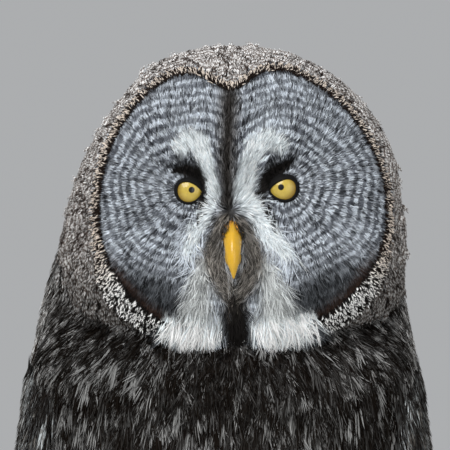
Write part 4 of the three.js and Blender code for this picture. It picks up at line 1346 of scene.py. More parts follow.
def build_whiskers():
    """Long hairs of two mid stations, beside the bill and on moustache and chin."""
    rng = np.random.default_rng(31)

    def weight(x, z):
        m = face_marks(x, z)
        long_haired = np.max([m["white"], m["tuft"], 0.9 * m["moustache"], m["chin"], m["lore"]], axis=0)
        return ramp(6, -6, z) * long_haired * (eye_share(x, z) > 1.1) * (1 - 0.8 * bill_share(x, z))

    x, z = scatter(face_surface, (-50, 55), (-80, 8), COUNTS["whiskers"], 41, weight)
    n, marks = len(x), face_marks(x, z)
    long = by_mark(marks, 11, white=size_of("whisker"), tuft=15, moustache=size_of("moustache_feather"),
                   chin=12, lore=8)
    long = long * rng.uniform(0.65, 1.3, n) * np.where(rng.random(n) < 0.08, 1.6, 1)
    tip = by_mark(marks, 2, white=3, tuft=4, moustache=7, chin=5, lore=2) * rng.uniform(0.3, 1.4, n)
    path, normals, own, _ = tufts(
        face_surface, x, z, face_flow, (0.05, 0.05), rng, long, tip, per=4, spread=(0.4, 1.5), stations=4,
        lean=0.22, fan=0.08, depth=1)
    x1, _, z1 = mix(to_head(path[:, 0]), to_head(path[:, 2]), 0.6).T
    pale = hair_tones(rng, face_tone(rng, marks), own, 0.12, 1.4)
    stray = rng.normal(0, 0.9, (2, n))[:, own]
    plume = shade(face_colour(x1 + stray[0], z1 + stray[1], pale), (0.4, 0.95, 1.1, 1.25))
    width = np.array([0.5, 0.36]) * rng.uniform(0.7, 1.3, (len(own), 1))
    add_coat("whiskers", blades(path, normals, width, 0.5, face_unwrap(x, z)[own], plume), "whisker")


def build_ruff():
    """Short stiff feathers in a band round the disc: cream and brown above, white and black below."""
    rng = np.random.default_rng(51)

    def broad(phi):
        return ramp(-0.1, -0.6, np.sin(phi))

    def weight(phi, u):
        return (u < mix(1.022, 1.062, broad(phi))) * mix(1.0, 0.8, broad(phi))

    def flow(p, a, b):
        return unit(to_head(p) * np.array([1, 0, 1])) + np.array([0, 0.4, -0.5])

    phi, u = scatter(head_surface, (-np.pi, np.pi), (0.97, 1.065), COUNTS["ruff"], 61, weight)
    n, low = len(phi), ramp(-0.2, -0.62, np.sin(phi))
    is_pale = rng.random(n) < mix(0.3, 0.27, low) * ramp(0.972, 0.99, u)
    tip = rng.uniform(0.2, 1.4, n) + np.where(is_pale, 0.35, 0)
    long = size_of("rim_feather") * rng.uniform(0.6, 1.25, n) * mix(1, 0.85, low)
    path, normals, *_ = tufts(
        head_surface, phi, u, flow, (1e-3, 1e-3), rng, long, tip, per=1, spread=(0.1, 0.1), outward=-1,
        lean=0.45, fan=0.0)
    top = np.where(column(is_pale), tint("buff"), tint("rim_dark"))
    bottom = np.where(column(is_pale), tint("rim_white"), tint("black"))
    colours = mix(top, bottom, column(low))
    # The root at 0.4 of the rim's dark is painted shade under the ruff, and tips at 1.1 are painted light.
    plume = np.stack([tint("rim_dark") * 0.4 + 0 * colours, 0.85 * colours, colours * 1.1], 1)
    unwrap = np.stack([phi / (2 * np.pi) + 0.5, (u - 0.965) / 0.11 * 0.9 + 0.05], -1)
    width = mix(0.44, 0.76, low * is_pale) * rng.uniform(0.8, 1.25, n)
    add_coat("ruff", blades(path, normals, column(width), 0.6, unwrap, plume), "ruff")


def build_crown(side_name, side):
    """Barred feathers of crown, head side and nape, combed backwards and down."""
    rng = np.random.default_rng(71 + side)

    def weight(phi, u):
        return (side * np.cos(phi) > 0) * np.where(u < 1.45, 1.8, 0.8)

    phi, u = scatter(settled_head, (-np.pi, np.pi), (1.015, 1.995), COUNTS["crown"], 81 + side, weight)
    n = len(phi)

    def flow(p, a, b):
        local = to_head(p)
        down = mix(0.25, 1.7, ramp(45, -60, local[..., 2]))
        return stack(0.12 * local[..., 0] / 90, 1, -down)

    stray = rng.random(n) < 0.02
    tip = rng.uniform(0.2, 2.0, n) + 2.4 * stray
    tip *= 1 - 0.8 * ramp(1.6, 1.9, u)
    long = size_of("crown_feather") * rng.uniform(0.75, 1.15, n) * mix(0.5, 1, ramp(1.0, 1.12, u))
    path, normals, own, off = tufts(
        settled_head, phi, u, flow, (1e-3, 1e-3), rng, long, tip, per=5, spread=(0.5, 0.4), outward=-1,
        lean=0.25, fan=0.07, depth=1.2)
    pale = hair_tones(rng, np.where(stray, 1, two_tone(rng, n, 0.8)), own, 0.1, 1.8)
    plume = shade(crown_colour(path[:, 1], pale), (0.4, 0.95, 1.35))
    from_tip = np.linspace(1, 0, 3) * column(long)
    band = (from_tip / size_of("crown_bar") - 0.3 + rng.normal(0, 0.12, (n, 1)))[own]
    band = band + 0.05 * column(off ** 2)
    unwrap = np.stack([phi / (2 * np.pi) + 0.5, (u - 1) * 0.96 + 0.02], -1)[own]
    part = blades(path, normals, column(rng.uniform(0.45, 0.85, len(own))), 0.45, unwrap, plume, band, 0.95)
    add_coat(f"crown_{side_name}", part, "crown")


# Body.
def down_body(p, t, turn):
    """Down the body, spreading to the sides at the throat."""
    way = heading(body_line, t)
    return stack(mix(0.16, 0.55, ramp(350, 395, p[..., 2])) * p[..., 0] / 100, -way[..., 0], -way[..., 1])


def hair_coat(name, t_range, turn_range, per, seed, weight=None, pale_share=0.3, short=1.0, bars=0.0,
              lean=0.16):
    """Loose tufts of fine hairs, dark at the root and paler at the ends. short scales their length and size,
    and the lowest hang free over the thighs."""
    rng = np.random.default_rng(seed)
    t, turn = scatter(plump_body, t_range, turn_range, COUNTS[name], seed + 1, weight)
    n, root = len(t), body_surface(t, turn)
    x, y, z = root.T
    low, edge, aft = ramp(330, 210, z), ramp(84, 96, np.abs(x)) * ramp(20, -10, y), ramp(-15, 35, y)
    throat, hang = bell(x / 17) * ramp(372, 392, z) * ramp(0, -40, y), ramp(0.34, 0.08, t)
    long = short * size_of("breast_feather") * rng.uniform(0.6, 1.15, n) * (1 + 0.8 * edge + 0.35 * hang)
    tip = rng.uniform(0.5, 4, n) * short ** 0.5
    path, normals, own, _ = tufts(
        plump_body, t, turn, down_body, (1e-3, 1e-3), rng, long, tip, per=per,
        spread=(0.8 * short + 0.15, 3 * short), lean=lean, fan=0.08, depth=2.4)
    path[..., 2] -= column((hang * rng.uniform(8, 26, n))[own]) * [0, 0.3, 1]
    blotch = patches(x, y, z, 30, seed) - 0.5
    tones = two_tone(
        rng, n, np.clip(pale_share + 0.7 * blotch + 0.2 * low + 0.3 * edge - 0.3 * throat, 0.03, 1), 0.14)
    pale = hair_tones(rng, tones, own, 0.14, mix(2, 1.3, aft)[own])
    ends = body_colour(root[own], pale) * column((1 + 0.8 * edge)[own])
    dark = body_colour(root[own], 0.1 * pale)
    # Roots at 0.4 of the dark colour are painted shade under the coat and ends at 1.15 are painted light,
    # over the hairs' own darker bases.
    plume = np.stack([0.4 * dark, mix(dark, ends, 0.75), 1.15 * ends], 1)
    from_tip = np.linspace(1, 0, 3) * column(long)
    band = (from_tip / (7 * short ** 0.5) - 0.3 + rng.normal(0, 0.1, (n, 1)))[own]
    mark = column(np.maximum(bars, 0.5 * low))[own]
    unwrap = np.stack([(turn - turn_range[0]) / (turn_range[1] - turn_range[0]), t], -1)[own]
    part = blades(path, normals, column(rng.uniform(0.35, 0.75, len(own))), 0.45, unwrap, plume, band, mark)
    add_coat(name, part, "body")


def build_body():
    """Neck, breast and belly from side to side in front, and the nape behind."""
    def front(t, turn):
        return np.where(np.sin(turn) > 0.1, 1.0, 0.6)

    def thinning(t, turn):
        return front(t, turn) * ramp(0.62, 0.76, t)

    # Neck and breast get few pale hairs, partly as painted shade under the head.
    hair_coat("neck_coat", (0.63, 0.93), (-0.5, np.pi + 0.5), 6, 96, thinning, 0.22, 0.32, bars=0.7, lean=0.2)
    hair_coat("breast", (0.5, 0.82), (-0.35, np.pi + 0.35), 7, 101, front, 0.17, 0.62)
    hair_coat("belly", (0.01, 0.52), (-0.6, np.pi + 0.6), 9, 111, pale_share=0.5)
    behind = (np.pi - 0.3, 2 * np.pi + 0.3)
    hair_coat("nape", (0.66, 0.96), behind, 7, 121, None, 0.6, 0.4, bars=0.8, lean=0.24)


def build_leg_coat(side_name, side):
    """Barred feathers that hang down thigh and shank and lie forwards on the toes. Those of the thigh are the
    belly's own and cover the upper shank."""
    rng = np.random.default_rng(131 + side)
    parts = []
    thigh, shank, *toes = leg_surfaces(side)
    long, down = size_of("leg_feather"), (0.0, 0.05, -1.0)
    rows = [(thigh, (0.02, 0.97), COUNTS["thigh"], 8, down, 2.3 * long, (1.8, 3)),
            (shank, (0.02, 0.92), COUNTS["shank"], 6, down, 1.1 * long, (1, 1.6))]
    for toe, tube in zip(TOES.values(), toes):
        ahead = (side * math.sin(toe[0] * DEG), -math.cos(toe[0] * DEG), -0.15)
        rows.append((tube, (0.05, 0.93), COUNTS["toe"], 4, ahead, size_of("toe_feather"), (0.6, 1)))
    for k, (surface, t_range, tuft_count, per, way, reach, spread) in enumerate(rows):
        t, angle = scatter(surface, t_range, (-np.pi, np.pi), tuft_count, 141 + k)
        n = len(t)
        long = reach * rng.uniform(0.55, 1.15, n)
        tip = rng.uniform(0.05, 0.2, n) * reach
        path, normals, own, _ = tufts(
            surface, t, angle, lambda p, a, b, way=way: np.broadcast_to(way, p.shape), (1e-3, 1e-3), rng,
            long, tip, per=per, spread=spread, outward=-1, lean=0.2, fan=0.1, depth=1)
        path[..., 2] = np.maximum(path[..., 2], 0.6)
        pale = hair_tones(rng, two_tone(rng, n, 0.7), own, 0.12)
        middle = path[:, 1]
        colours = mix(leg_colour(pale), body_colour(middle, pale), column(ramp(60, 120, middle[:, 2])))
        band = path[..., 2] / 6.5 + rng.normal(0, 0.25, n)[own, None]
        unwrap = np.stack([angle / (2 * np.pi) + 0.5, (k + np.clip(t, 0, 1)) / len(rows)], -1)[own]
        width = column(rng.uniform(0.5, 1.0, len(own)))
        parts.append(blades(path, normals, width, 0.45, unwrap, shade(colours, (0.5, 0.95, 1.15)), band, 0.4))
    add_coat(f"leg_coat_{side_name}", join_parts(parts), "leg", "leg_down")


# Wings and tail.
WING_ROWS = [  # count, roots and tips as (s, turn) of the first and last feather, half width, heights, tilt
    (11, (0.36, -12), (0.40, 76), (0.68, 4), (0.78, 76), 9.5, (-3, 1), 0.16),
    (12, (0.24, -18), (0.28, 74), (0.47, -14), (0.56, 76), 10.5, (-2, 3), 0.16),
    (11, (0.15, -18), (0.19, 70), (0.36, -18), (0.45, 74), 10.5, (-1, 4.2), 0.15),
    (10, (0.085, -16), (0.11, 64), (0.26, -20), (0.34, 70), 10.5, (-0.5, 5.2), 0.15),
    (9, (0.035, -12), (0.05, 56), (0.18, -20), (0.25, 64), 10.5, (0, 6), 0.14),
    (8, (0.0, -6), (0.0, 46), (0.11, -18), (0.17, 56), 10.5, (0, 6.5), 0.14),
]
PRIMARY_TIPS = (0.86, 0.90, 0.945, 0.975, 0.995, 0.985, 0.955, 0.92)
BACK_ROWS = [  # the same for the feathers over the middle of the back
    (7, (0.62, 64), (0.62, 116), (0.985, 70), (0.985, 110), 10, (-12, -10), 0),
    (6, (0.52, 68), (0.52, 112), (0.84, 74), (0.84, 106), 9.5, (-7, -3), 0),
    (5, (0.44, 72), (0.44, 108), (0.70, 76), (0.70, 104), 9.5, (-3, 1), 0),
    (6, (0.34, 66), (0.34, 114), (0.60, 70), (0.60, 110), 10, (-1.5, 3), 0),
    (7, (0.26, 62), (0.26, 118), (0.50, 66), (0.50, 114), 10, (0, 4.6), 0),
    (7, (0.19, 58), (0.19, 122), (0.40, 62), (0.40, 118), 10.5, (0, 5), 0),
    (7, (0.12, 54), (0.12, 126), (0.31, 58), (0.31, 122), 11, (0, 5.2), 0),
    (8, (0.06, 48), (0.06, 132), (0.23, 54), (0.23, 126), 11, (0, 5.4), 0),
    (8, (0.0, 44), (0.0, 136), (0.15, 50), (0.15, 130), 11, (0, 5.6), 0),
]
WING_EDGES = [(-16, 40), (-26, 60), (-22, 74), (-10, 80), (4, 82)]
# Along the pad: place on WING_EDGES, s on the mantle, height of its floor and of its top.
PAD_STATIONS = [
    (0, 0.01, -5, 0), (0.12, 0.07, -22, 2), (0.3, 0.17, -22, 2), (0.5, 0.29, -20, 0.5), (0.7, 0.41, -16, -1),
    (0.86, 0.52, -10, -3), (1, 0.62, -8, -5),
]
PRIMARY = dict(root=0.45, root_turn=(2, 10), tip_turn=(10, 12), height=(-8, 1.3), half=9.0)
SHOULDER_S, SHOULDER_TURN = (0.0, 0.62), (-28, 92)


def vanes(place, half, long, bar, edge, seed, first, total, rows=13, columns=9, thick=0.55, camber=0.10,
          blunt=0.16):
    """Closed vanes: a grid of t along and c = -1 to 1 across, above and below. place takes t, across and
    lift, each of shape (feathers, rows, columns). The width is half (0.55 + 0.45 ramp(t)), less towards the
    tip, which is rounded by t (1 - blunt c^2 t^3) and ends unevenly."""
    rng = np.random.default_rng(seed)
    n = len(half)
    shape = (n, rows, columns)
    t = np.linspace(0, 1, rows)[None, :, None]
    c = np.linspace(-1, 1, columns)[None, None, :]
    out, reach = np.abs(c), long[:, None, None]
    uneven = rng.uniform(-1.6, 1.6, (n, 1, columns)) / reach
    along = t * (1 - blunt * c ** 2 * t ** 3 + uneven * t ** 4)
    wide = mix(0.55, 1.0, ramp(0, 0.45, t)) * (1 - 0.28 * ramp(0.8, 1, t)) * half[:, None, None]
    across = c * wide + 0.03 * wide * rng.uniform(-1, 1, shape) * out
    rise = camber * wide * (1 - c ** 2)
    top = place(along, across, rise + thick / 2 * (1 - 0.7 * out))
    under = place(along, across, rise - thick / 2 * (1 - 0.7 * out))
    points = np.stack([top, under], 1).reshape(n, -1, 3)
    faces = vane_faces(rows, columns)
    corner = points[:, faces]
    one, two, three = (corner[:, :, k] - corner[:, :1, 0] for k in range(3))
    inside_out = np.sum(np.cross(one, two) * three, axis=(1, 2)) < 0
    faces = np.where(inside_out[:, None, None], faces[None, :, ::-1], faces[None])
    faces = faces + (np.arange(n) * 2 * rows * columns)[:, None, None]
    mid = place(along, across, rise)
    blotch = patches(mid[..., 0], mid[..., 1], mid[..., 2], 14, seed)
    tone = np.clip(blotch + rng.normal(0, 0.16, (n, 1, 1)), 0, 1)
    ground = mix(tint("wing_ground") * 0.5, tint("wing_ground") * 1.4, column(tone))
    fringe = edge * (ramp(0.62, 1, out) * 0.8 + ramp(0.88, 1, t)) * rng.uniform(0.3, 1, (n, 1, 1))
    ground = mix(ground, tint("wing_edge"), column(np.clip(fringe, 0, 1)))
    ground = ground * column(mix(0.55, 1, ramp(0, 0.35, t)))
    vee, pitch = rng.uniform(0.15, 0.7, (n, 1, 1)), bar * rng.uniform(0.85, 1.2, (n, 1, 1))
    band = (along * reach + vee * out * wide) / pitch + rng.random((n, 1, 1))
    cells = math.ceil(math.sqrt(total))
    index = first + np.arange(n)
    cell = np.stack([index % cells, index // cells], -1)[:, None, None, :]
    bake = (cell + 0.5 + 0.45 * np.stack(np.broadcast_arrays(c, 2 * t - 1), -1)) / cells
    chart = np.stack(np.broadcast_arrays(c, along * reach), -1)

    def twice(values, width):
        """The same values above and below."""
        return np.stack([values, values], 1).reshape(-1, width)

    return {
        "points": points.reshape(-1, 3), "faces": faces.reshape(-1, 3), "plume": twice(ground, 3),
        "band": twice(band, 1).ravel(), "mark": np.full(2 * band.size, 0.85), "bake": twice(bake, 2),
        "vane": twice(chart, 2),
    }


def vane_faces(rows, columns):
    """Triangles of one vane: the grid above, the grid below turned over, and the strip round the edge."""
    r, c = np.meshgrid(np.arange(rows - 1), np.arange(columns - 1), indexing="ij")
    a = (r * columns + c).ravel()
    b, low = a + columns, rows * columns
    above = np.concatenate([np.stack([a, a + 1, b + 1], -1), np.stack([a, b + 1, b], -1)])
    edge = [*range(columns), *range(2 * columns - 1, low, columns), *range(low - 2, low - columns - 1, -1),
            *range(low - 2 * columns, 0, -columns)]
    e, f = np.array(edge), np.roll(edge, -1)
    strip = np.concatenate([np.stack([f, e, e + low], -1), np.stack([f, e + low, f + low], -1)])
    return np.concatenate([above, above[:, ::-1] + low, strip])


def row_placer(side, roots, tips, heights, tilt):
    """Sets points of a row's feathers on the mantle. roots and tips are (n, 2) of s and turn."""
    def place(t, across, lift):
        s = mix(roots[:, None, None, 0], tips[:, None, None, 0], t)
        turn = mix(roots[:, None, None, 1], tips[:, None, None, 1], t)
        girth = mantle_girth(s)
        sine, cosine = np.sin(turn * DEG), np.cos(turn * DEG)
        per_degree = DEG * np.hypot(girth[..., 0] * sine, girth[..., 1] * cosine)
        high = mix(heights[0], heights[1], np.minimum(1, 1.6 * t))
        return mantle_surface(side, s, turn + across / per_degree, high - tilt * across + lift)

    return place


def row_vanes(side, row, seed, first, total, edge):
    """The feathers of one row, each a little out of line."""
    count, root_a, root_b, tip_a, tip_b, half, heights, tilt = row
    rng = np.random.default_rng(seed)
    k = column(np.linspace(0, 1, count))
    roots = mix(np.array(root_a, float), np.array(root_b, float), k)
    roots = roots + rng.normal(0, 1, (count, 2)) * [0.004, 1.2]
    tips = mix(np.array(tip_a, float), np.array(tip_b, float), k)
    tips = tips + rng.normal(0, 1, (count, 2)) * [0.007, 1.6]
    roots[:, 0] = np.maximum(roots[:, 0], 0)
    place, widths = row_placer(side, roots, tips, heights, tilt), half * rng.uniform(0.92, 1.1, count)
    bar = size_of("wing_bar") * 0.62
    return vanes(place, widths, reach_of(side, roots, tips), bar, edge, seed, first, total)


def reach_of(side, roots, tips):
    """Lengths of feathers from their roots and tips on the mantle."""
    ends = [mantle_surface(side, *v.T, 0) for v in (roots, tips)]
    return np.linalg.norm(ends[1] - ends[0], axis=-1)


def primary_vanes(side, seed, first, total):
    """The long feathers of the wing tip, each above the one before it."""
    count = len(PRIMARY_TIPS)
    i = np.arange(count) * 5 / (count - 1)
    (root_turn, root_step), (tip_turn, tip_step) = PRIMARY["root_turn"], PRIMARY["tip_turn"]
    roots = np.stack([np.full(count, PRIMARY["root"]), root_turn + root_step * i], -1)
    tips = np.stack([np.array(PRIMARY_TIPS), tip_turn + tip_step * i], -1)
    base, step = PRIMARY["height"]

    def place(t, across, lift):
        high = (base + step * i)[:, None, None]
        return row_placer(side, roots, tips, (0, 0), 0)(t, across, lift + high)

    halves, long = np.full(count, PRIMARY["half"]), reach_of(side, roots, tips)
    return vanes(place, halves, long, size_of("wing_bar"), 0.2, seed, first, total, rows=20)


def wing_pad(side):
    """Closed pad under the feathers, between the lower and upper edge of the wing's base."""
    edges = smooth_line(WING_EDGES)
    angle = circle(40)
    rings = []
    for place, s, floor, top in smooth_line(PAD_STATIONS)(np.linspace(0, 1, 24)):
        low, high = edges(np.array(place))
        turn = mix(low + 2, high - 2, 0.5 + 0.5 * rounded(np.cos(angle), 4))
        rings.append(mantle_surface(side, s, turn, mix(floor, top, 0.5 + 0.5 * rounded(np.sin(angle), 4))))
    part = shell(np.array(rings))
    x, _, z = part["points"].T
    spread = np.stack([np.arctan2(x, z), z], -1)
    return {
        **part, "plume": np.tile(tint("wing_ground") * 0.45, (len(x), 1)), "band": np.zeros(len(x)),
        "mark": np.zeros(len(x)), "bake": (spread - spread.min(0)) / np.ptp(spread, axis=0),
        "vane": np.full((len(x), 2), 0.5),
    }


def build_wing(side_name, side):
    """One folded wing: pad, long primaries, then rows of coverts from the lowest to the uppermost."""
    total = sum(row[0] for row in WING_ROWS) + len(PRIMARY_TIPS)
    parts, first = [primary_vanes(side, 201 + side, 0, total)], len(PRIMARY_TIPS)
    for k, row in enumerate(WING_ROWS):
        parts.append(row_vanes(side, row, 211 + 10 * k + side, first, total, 0.25 + 0.12 * k))
        first += row[0]
    feathers = join_parts(parts)
    add_smooth(f"feathers_{side_name}", feathers, vane_material(), "flight_feathers", f"wing_{side_name}")
    add_smooth(f"wing_pad_{side_name}", wing_pad(side), skin_material(), "flight_feathers")


def build_back():
    """Soft feathers over the middle of the back, from the wing tips up to the nape."""
    total = sum(row[0] for row in BACK_ROWS)
    parts, first = [], 0
    for k, row in enumerate(BACK_ROWS):
        parts.append(row_vanes(1, row, 301 + 10 * k, first, total, 0.45))
        first += row[0]
    add_smooth("back_feathers", join_parts(parts), vane_material(), "plumage")


def build_shoulders(side_name, side):
    """Loose barbs that blur the edges of the upper wing feathers."""
    rng = np.random.default_rng(331 + side)

    def surface(s, turn):
        return mantle_surface(side, s, turn, 7.6 - 7 * s)

    def weight(s, turn):
        return 3 - 1.7 * ramp(0.02, 0.08, s) - 1.2 * ramp(0.08, 0.62, s)

    def flow(p, s, turn):
        return stack(0, *heading(mantle_line, s).T)

    s, turn = scatter(surface, SHOULDER_S, SHOULDER_TURN, COUNTS["shoulder_barbs"], 341 + side, weight)
    n = len(s)
    long, tip = rng.uniform(11, 22, n), rng.uniform(0.5, 3.4, n)
    path, normals, own, _ = tufts(
        surface, s, turn, flow, (1e-3, 0.05), rng, long, tip, per=6, spread=(1.2, 2.4), outward=side,
        lean=0.16, depth=2)
    front = ramp(6, -14, turn) * ramp(0.3, 0.14, s)
    blotch = 0.9 * (patches(*path[::6, 0].T, 24, 5) - 0.5)
    share = 0.38 + blotch + 0.15 * ramp(10, 50, turn) + 0.3 * ramp(0.2, 0.55, s) - 0.14 * front
    pale = hair_tones(rng, two_tone(rng, n, np.clip(share, 0.05, 1)), own, 0.1, 1.6)
    edge = tint("wing_edge")
    light = mix(mix(tint("wing_ground"), edge, 0.6), edge * [1.1, 1.18, 1.25], column(front))
    colours = mix(tint("wing_dark") * column(mix(0.9, 0.4, front))[own], light[own], column(pale))
    band = np.linspace(1, 0, 3) * 16 / size_of("crown_bar") / 1.6 + rng.normal(0, 0.12, (n, 1))[own]
    unwrap = np.stack([(turn + 28) / 120, s / 0.62], -1)[own]
    width = column(rng.uniform(0.5, 1.0, len(own)))
    part = blades(path, normals, width, 0.45, unwrap, shade(colours, (0.45, 0.95, 1.2)), band, 0.7)
    add_coat(f"shoulder_barbs_{side_name}", part, "back")


def build_tail():
    """Twelve tail feathers, the middle pair uppermost, with coverts and a pad over their roots."""
    pairs = TAIL["pairs"]
    order = np.tile(np.arange(pairs), 2)[:, None, None].astype(float)
    side = np.repeat([-1.0, 1.0], pairs)[:, None, None]

    def feather(t, across, lift):
        return tail_surface(side, order, t, across, lift)

    cover = TAIL_COVERTS
    face = np.repeat([1.0, -1.0], cover["count"] // 2)[:, None, None]
    off = (np.tile(np.linspace(-1, 1, cover["count"] // 2), 2))[:, None, None]
    reach = cover["length"] - cover["shorter"] * off ** 2

    def covert(t, across, lift):
        high = face * mix(*cover["height"], t) - cover["drop"] - 3.5 * off ** 2 + lift * face
        wide = off * mix(*cover["fan"], t) + across
        return tail_point(wide, reach * t - cover["start"] + 0 * wide, high + 0 * wide)

    total = 2 * pairs + cover["count"]
    halves, long = np.full(2 * pairs, float(TAIL["half"])), TAIL["length"] - TAIL["shorter"] * order
    parts = [
        vanes(feather, halves, long.ravel(), size_of("tail_bar"), 0.25, 401, 0, total, rows=26, columns=11,
              thick=0.7, camber=0.05, blunt=0.10),
        vanes(covert, np.full(cover["count"], cover["half"]), reach.ravel(), 9.0, 0.5, 411, 2 * pairs, total),
    ]
    add_smooth("tail_feathers", join_parts(parts), vane_material(), "flight_feathers", "tail")
    angle = circle(32)
    rings = [tail_point(wide * np.cos(angle), run, high * np.sin(angle) - cover["drop"])
             for run, wide, high in smooth_line(TAIL_PAD)(np.linspace(0, 1, 12))]
    pad = shell(np.array(rings))
    pad["plume"] = np.tile(tint("belly_dark") * 0.6, (len(pad["points"]), 1))
    add_smooth("tail_pad", pad, skin_material(), "plumage")


# Eyes, lids, bill and claws.
def build_eye(side_name, gaze):
    """Eyeball as rings round the line of sight. Its map holds the turn and the millimetres from the pupil's
    middle."""
    ahead = unit(np.array([gaze[0], -math.sqrt(EYE_RADIUS ** 2 - gaze[0] ** 2 - gaze[1] ** 2), gaze[1]]))
    e1 = unit(np.cross(ahead, [0, 0, 1.0]))
    e2 = np.cross(ahead, e1)
    away = np.concatenate([np.linspace(0.004, 0.9, 40), np.linspace(0.95, 3.12, 24)])
    a, turn = np.meshgrid(away, circle(64), indexing="ij")
    aside = column(np.cos(turn)) * e1 + column(np.sin(turn)) * e2
    rings = EYE_RADIUS * (column(np.cos(a)) * ahead + column(np.sin(a)) * aside)
    part = shell(from_head(rings + EYE_CENTRES[side_name]))
    turns, gone = (turn / (2 * np.pi)).ravel(), (a * EYE_RADIUS).ravel()
    part["vane"] = np.concatenate([np.stack([turns, gone], -1), [[0.5, 0], [0.5, EYE_RADIUS * np.pi]]])
    add_smooth(f"eyeball_{side_name}", part, iris_material(), "eyes", f"eye_{side_name}")


def build_lids(side_name, side):
    """A ring of bare skin from inside the opening's edge over a rounded rim to below the feathers."""
    columns = 72
    x0, z0 = smooth_line([*LID_LINE, LID_LINE[0]])(circle(columns) / (2 * np.pi)).T
    x0 = x0 + LID_REACH[side_name] * ramp(0, 6, x0)
    turn = np.arctan2(z0, x0)
    x1, z1 = 11.2 * np.cos(turn), 10.2 * np.sin(turn)
    centre = EYE_CENTRES[side_name]
    rings = []
    for k, radius in LID_PROFILE:
        x, z = mix(x0, x1, k), mix(z0, z1, k)
        y = centre[1] - np.sqrt(np.maximum(0, radius ** 2 - x ** 2 - z ** 2))
        rings.append(stack(centre[0] - side * x, y, centre[2] + z))
    points = from_head(np.array(rings)).reshape(-1, 3)
    part = outward({"points": points, "faces": np.concatenate(ring_faces(len(rings), columns, closed=True))})
    add_smooth(f"lids_{side_name}", part, lid_material(), "plumage")


def bezier(points):
    """p = (1-t)^3 a + 3 (1-t)^2 t b + 3 (1-t) t^2 c + t^3 d."""
    a, b, c, d = np.asarray(points, float)

    def at(t):
        t = column(t)
        return (1 - t) ** 3 * a + 3 * (1 - t) ** 2 * t * b + 3 * (1 - t) * t * t * c + t ** 3 * d

    return at


def bill_surface(line, sizes_along, keel):
    """Ellipses across a bent line, drawn up into a keel along the top."""
    curve = bezier(line)
    stations, wide, high = np.array(sizes_along).T

    def at(t, angle, grow=0.0):
        p, way = curve(t), heading(curve, t)
        narrow = 1 - keel * np.clip(np.sin(angle), 0, 1) ** 2
        x = (np.interp(t, stations, wide) + grow) * np.cos(angle) * narrow + BILL_X
        rise = (np.interp(t, stations, high) + grow) * np.sin(angle)
        return from_head(stack(x, p[..., 0] + way[..., 1] * rise, p[..., 1] - way[..., 0] * rise))

    return at


def build_bill(node, line, sizes_along, keel):
    """One half of the bill, with mark running from its base to its tip."""
    t, angle = np.meshgrid(np.linspace(0, 1, 40) ** 0.8, circle(36), indexing="ij")
    part = shell(bill_surface(line, sizes_along, keel)(t, angle))
    part["mark"] = np.concatenate([t.ravel(), [0, 1]])
    material = horn_material("bill_horn", "bill_base", "bill", 0.28, 0.35)
    add_smooth(f"horn_{node}", part, material, "bill", node)


def build_bristles():
    """Thin bristles that lie forwards over the bill's base and run together along it."""
    rng = np.random.default_rng(361)
    n = COUNTS["bill_bristles"]
    surface = bill_surface(UPPER_BILL, UPPER_SIZES, UPPER_KEEL)
    aside = rng.choice([-1, 1], n) * rng.random(n) ** 0.5 * (np.pi / 2 + 0.35)
    start = rng.uniform(0.04, 0.28, n) + 0.06 * np.abs(np.sin(aside))
    reach = rng.uniform(0.06, 0.16, n) * mix(0.8, 1.5, np.abs(np.sin(aside)))
    k = np.linspace(0, 1, 3)
    t = start[:, None] + reach[:, None] * k
    turn = np.pi / 2 + aside[:, None] * (1 - 0.3 * k) + rng.normal(0, 0.14, n)[:, None] * k
    tip = rng.uniform(0.4, 1.8, n)
    path = surface(t, turn, np.array([-0.8, 0.3, 1.0]) * column(tip) + 0.2)
    normals = unit(surface(t, turn, 1.0) - surface(t, turn, 0.0))
    golden = rng.random(n) < 0.6 * np.cos(aside) ** 2
    brown = tint("lore") * column(rng.uniform(0.08, 0.8, n))
    plume = shade(np.where(column(golden), tint("bill_base") * 1.3, brown), (0.6, 1, 1.2))
    unwrap = np.stack([0.5 + 0.2 * aside, start * 2], -1)
    part = blades(path, normals, column(rng.uniform(0.3, 0.55, n)), 0.5, unwrap, plume)
    add_coat("bill_bristles", part, "whisker")


def build_claw(side_name, side, toe_name):
    """A claw that grows out of its toe and bends to the floor along CLAW_ARC, a little flat at the sides."""
    sine, cosine = math.sin(TOES[toe_name][0] * DEG), math.cos(TOES[toe_name][0] * DEG)
    start = np.array(on_toe(TOES[toe_name], CLAW["root"]))
    ahead, aside = np.array([sine, -cosine, 0]), np.array([cosine, sine, 0])
    arc = smooth_line([(a * CLAW["length"], b * CLAW["rise"]) for a, b in CLAW_ARC])
    t, angle = np.linspace(0, 1, 22), circle(18)
    p, way = arc(t), heading(arc, t)
    thick = column(mix(CLAW["radius"], CLAW["point"], t ** 1.4))
    forth = p[:, :1] - way[:, 1:] * thick * np.sin(angle)
    high = p[:, 1:] + way[:, :1] * thick * np.sin(angle)
    points = start + column(forth) * ahead + column(CLAW["flat"] * thick * np.cos(angle)) * aside
    points[..., 2] = np.maximum(points[..., 2] + high, 0)
    points[..., 0] *= side
    part = shell(points)
    part["mark"] = np.concatenate([np.repeat(t, len(angle)), [0, 1]])
    name = f"{side_name}_{toe_name}"
    material = horn_material("claw_horn", "claw", "claw", 0.25, 0.3)
    add_smooth(f"talon_{name}", part, material, "claws", f"claw_{name}")


# Stage.
def build_floor():
    """A square of floor under the feet."""
    mesh = bpy.data.meshes.new("floor")
    corners = [(x * FLOOR_HALF, y * FLOOR_HALF, 0) for x, y in ((-1, -1), (1, -1), (1, 1), (-1, 1))]
    mesh.from_pydata(corners, [], [(0, 1, 2, 3)])
    mesh.materials.append(floor_material())
    put("floor", mesh)


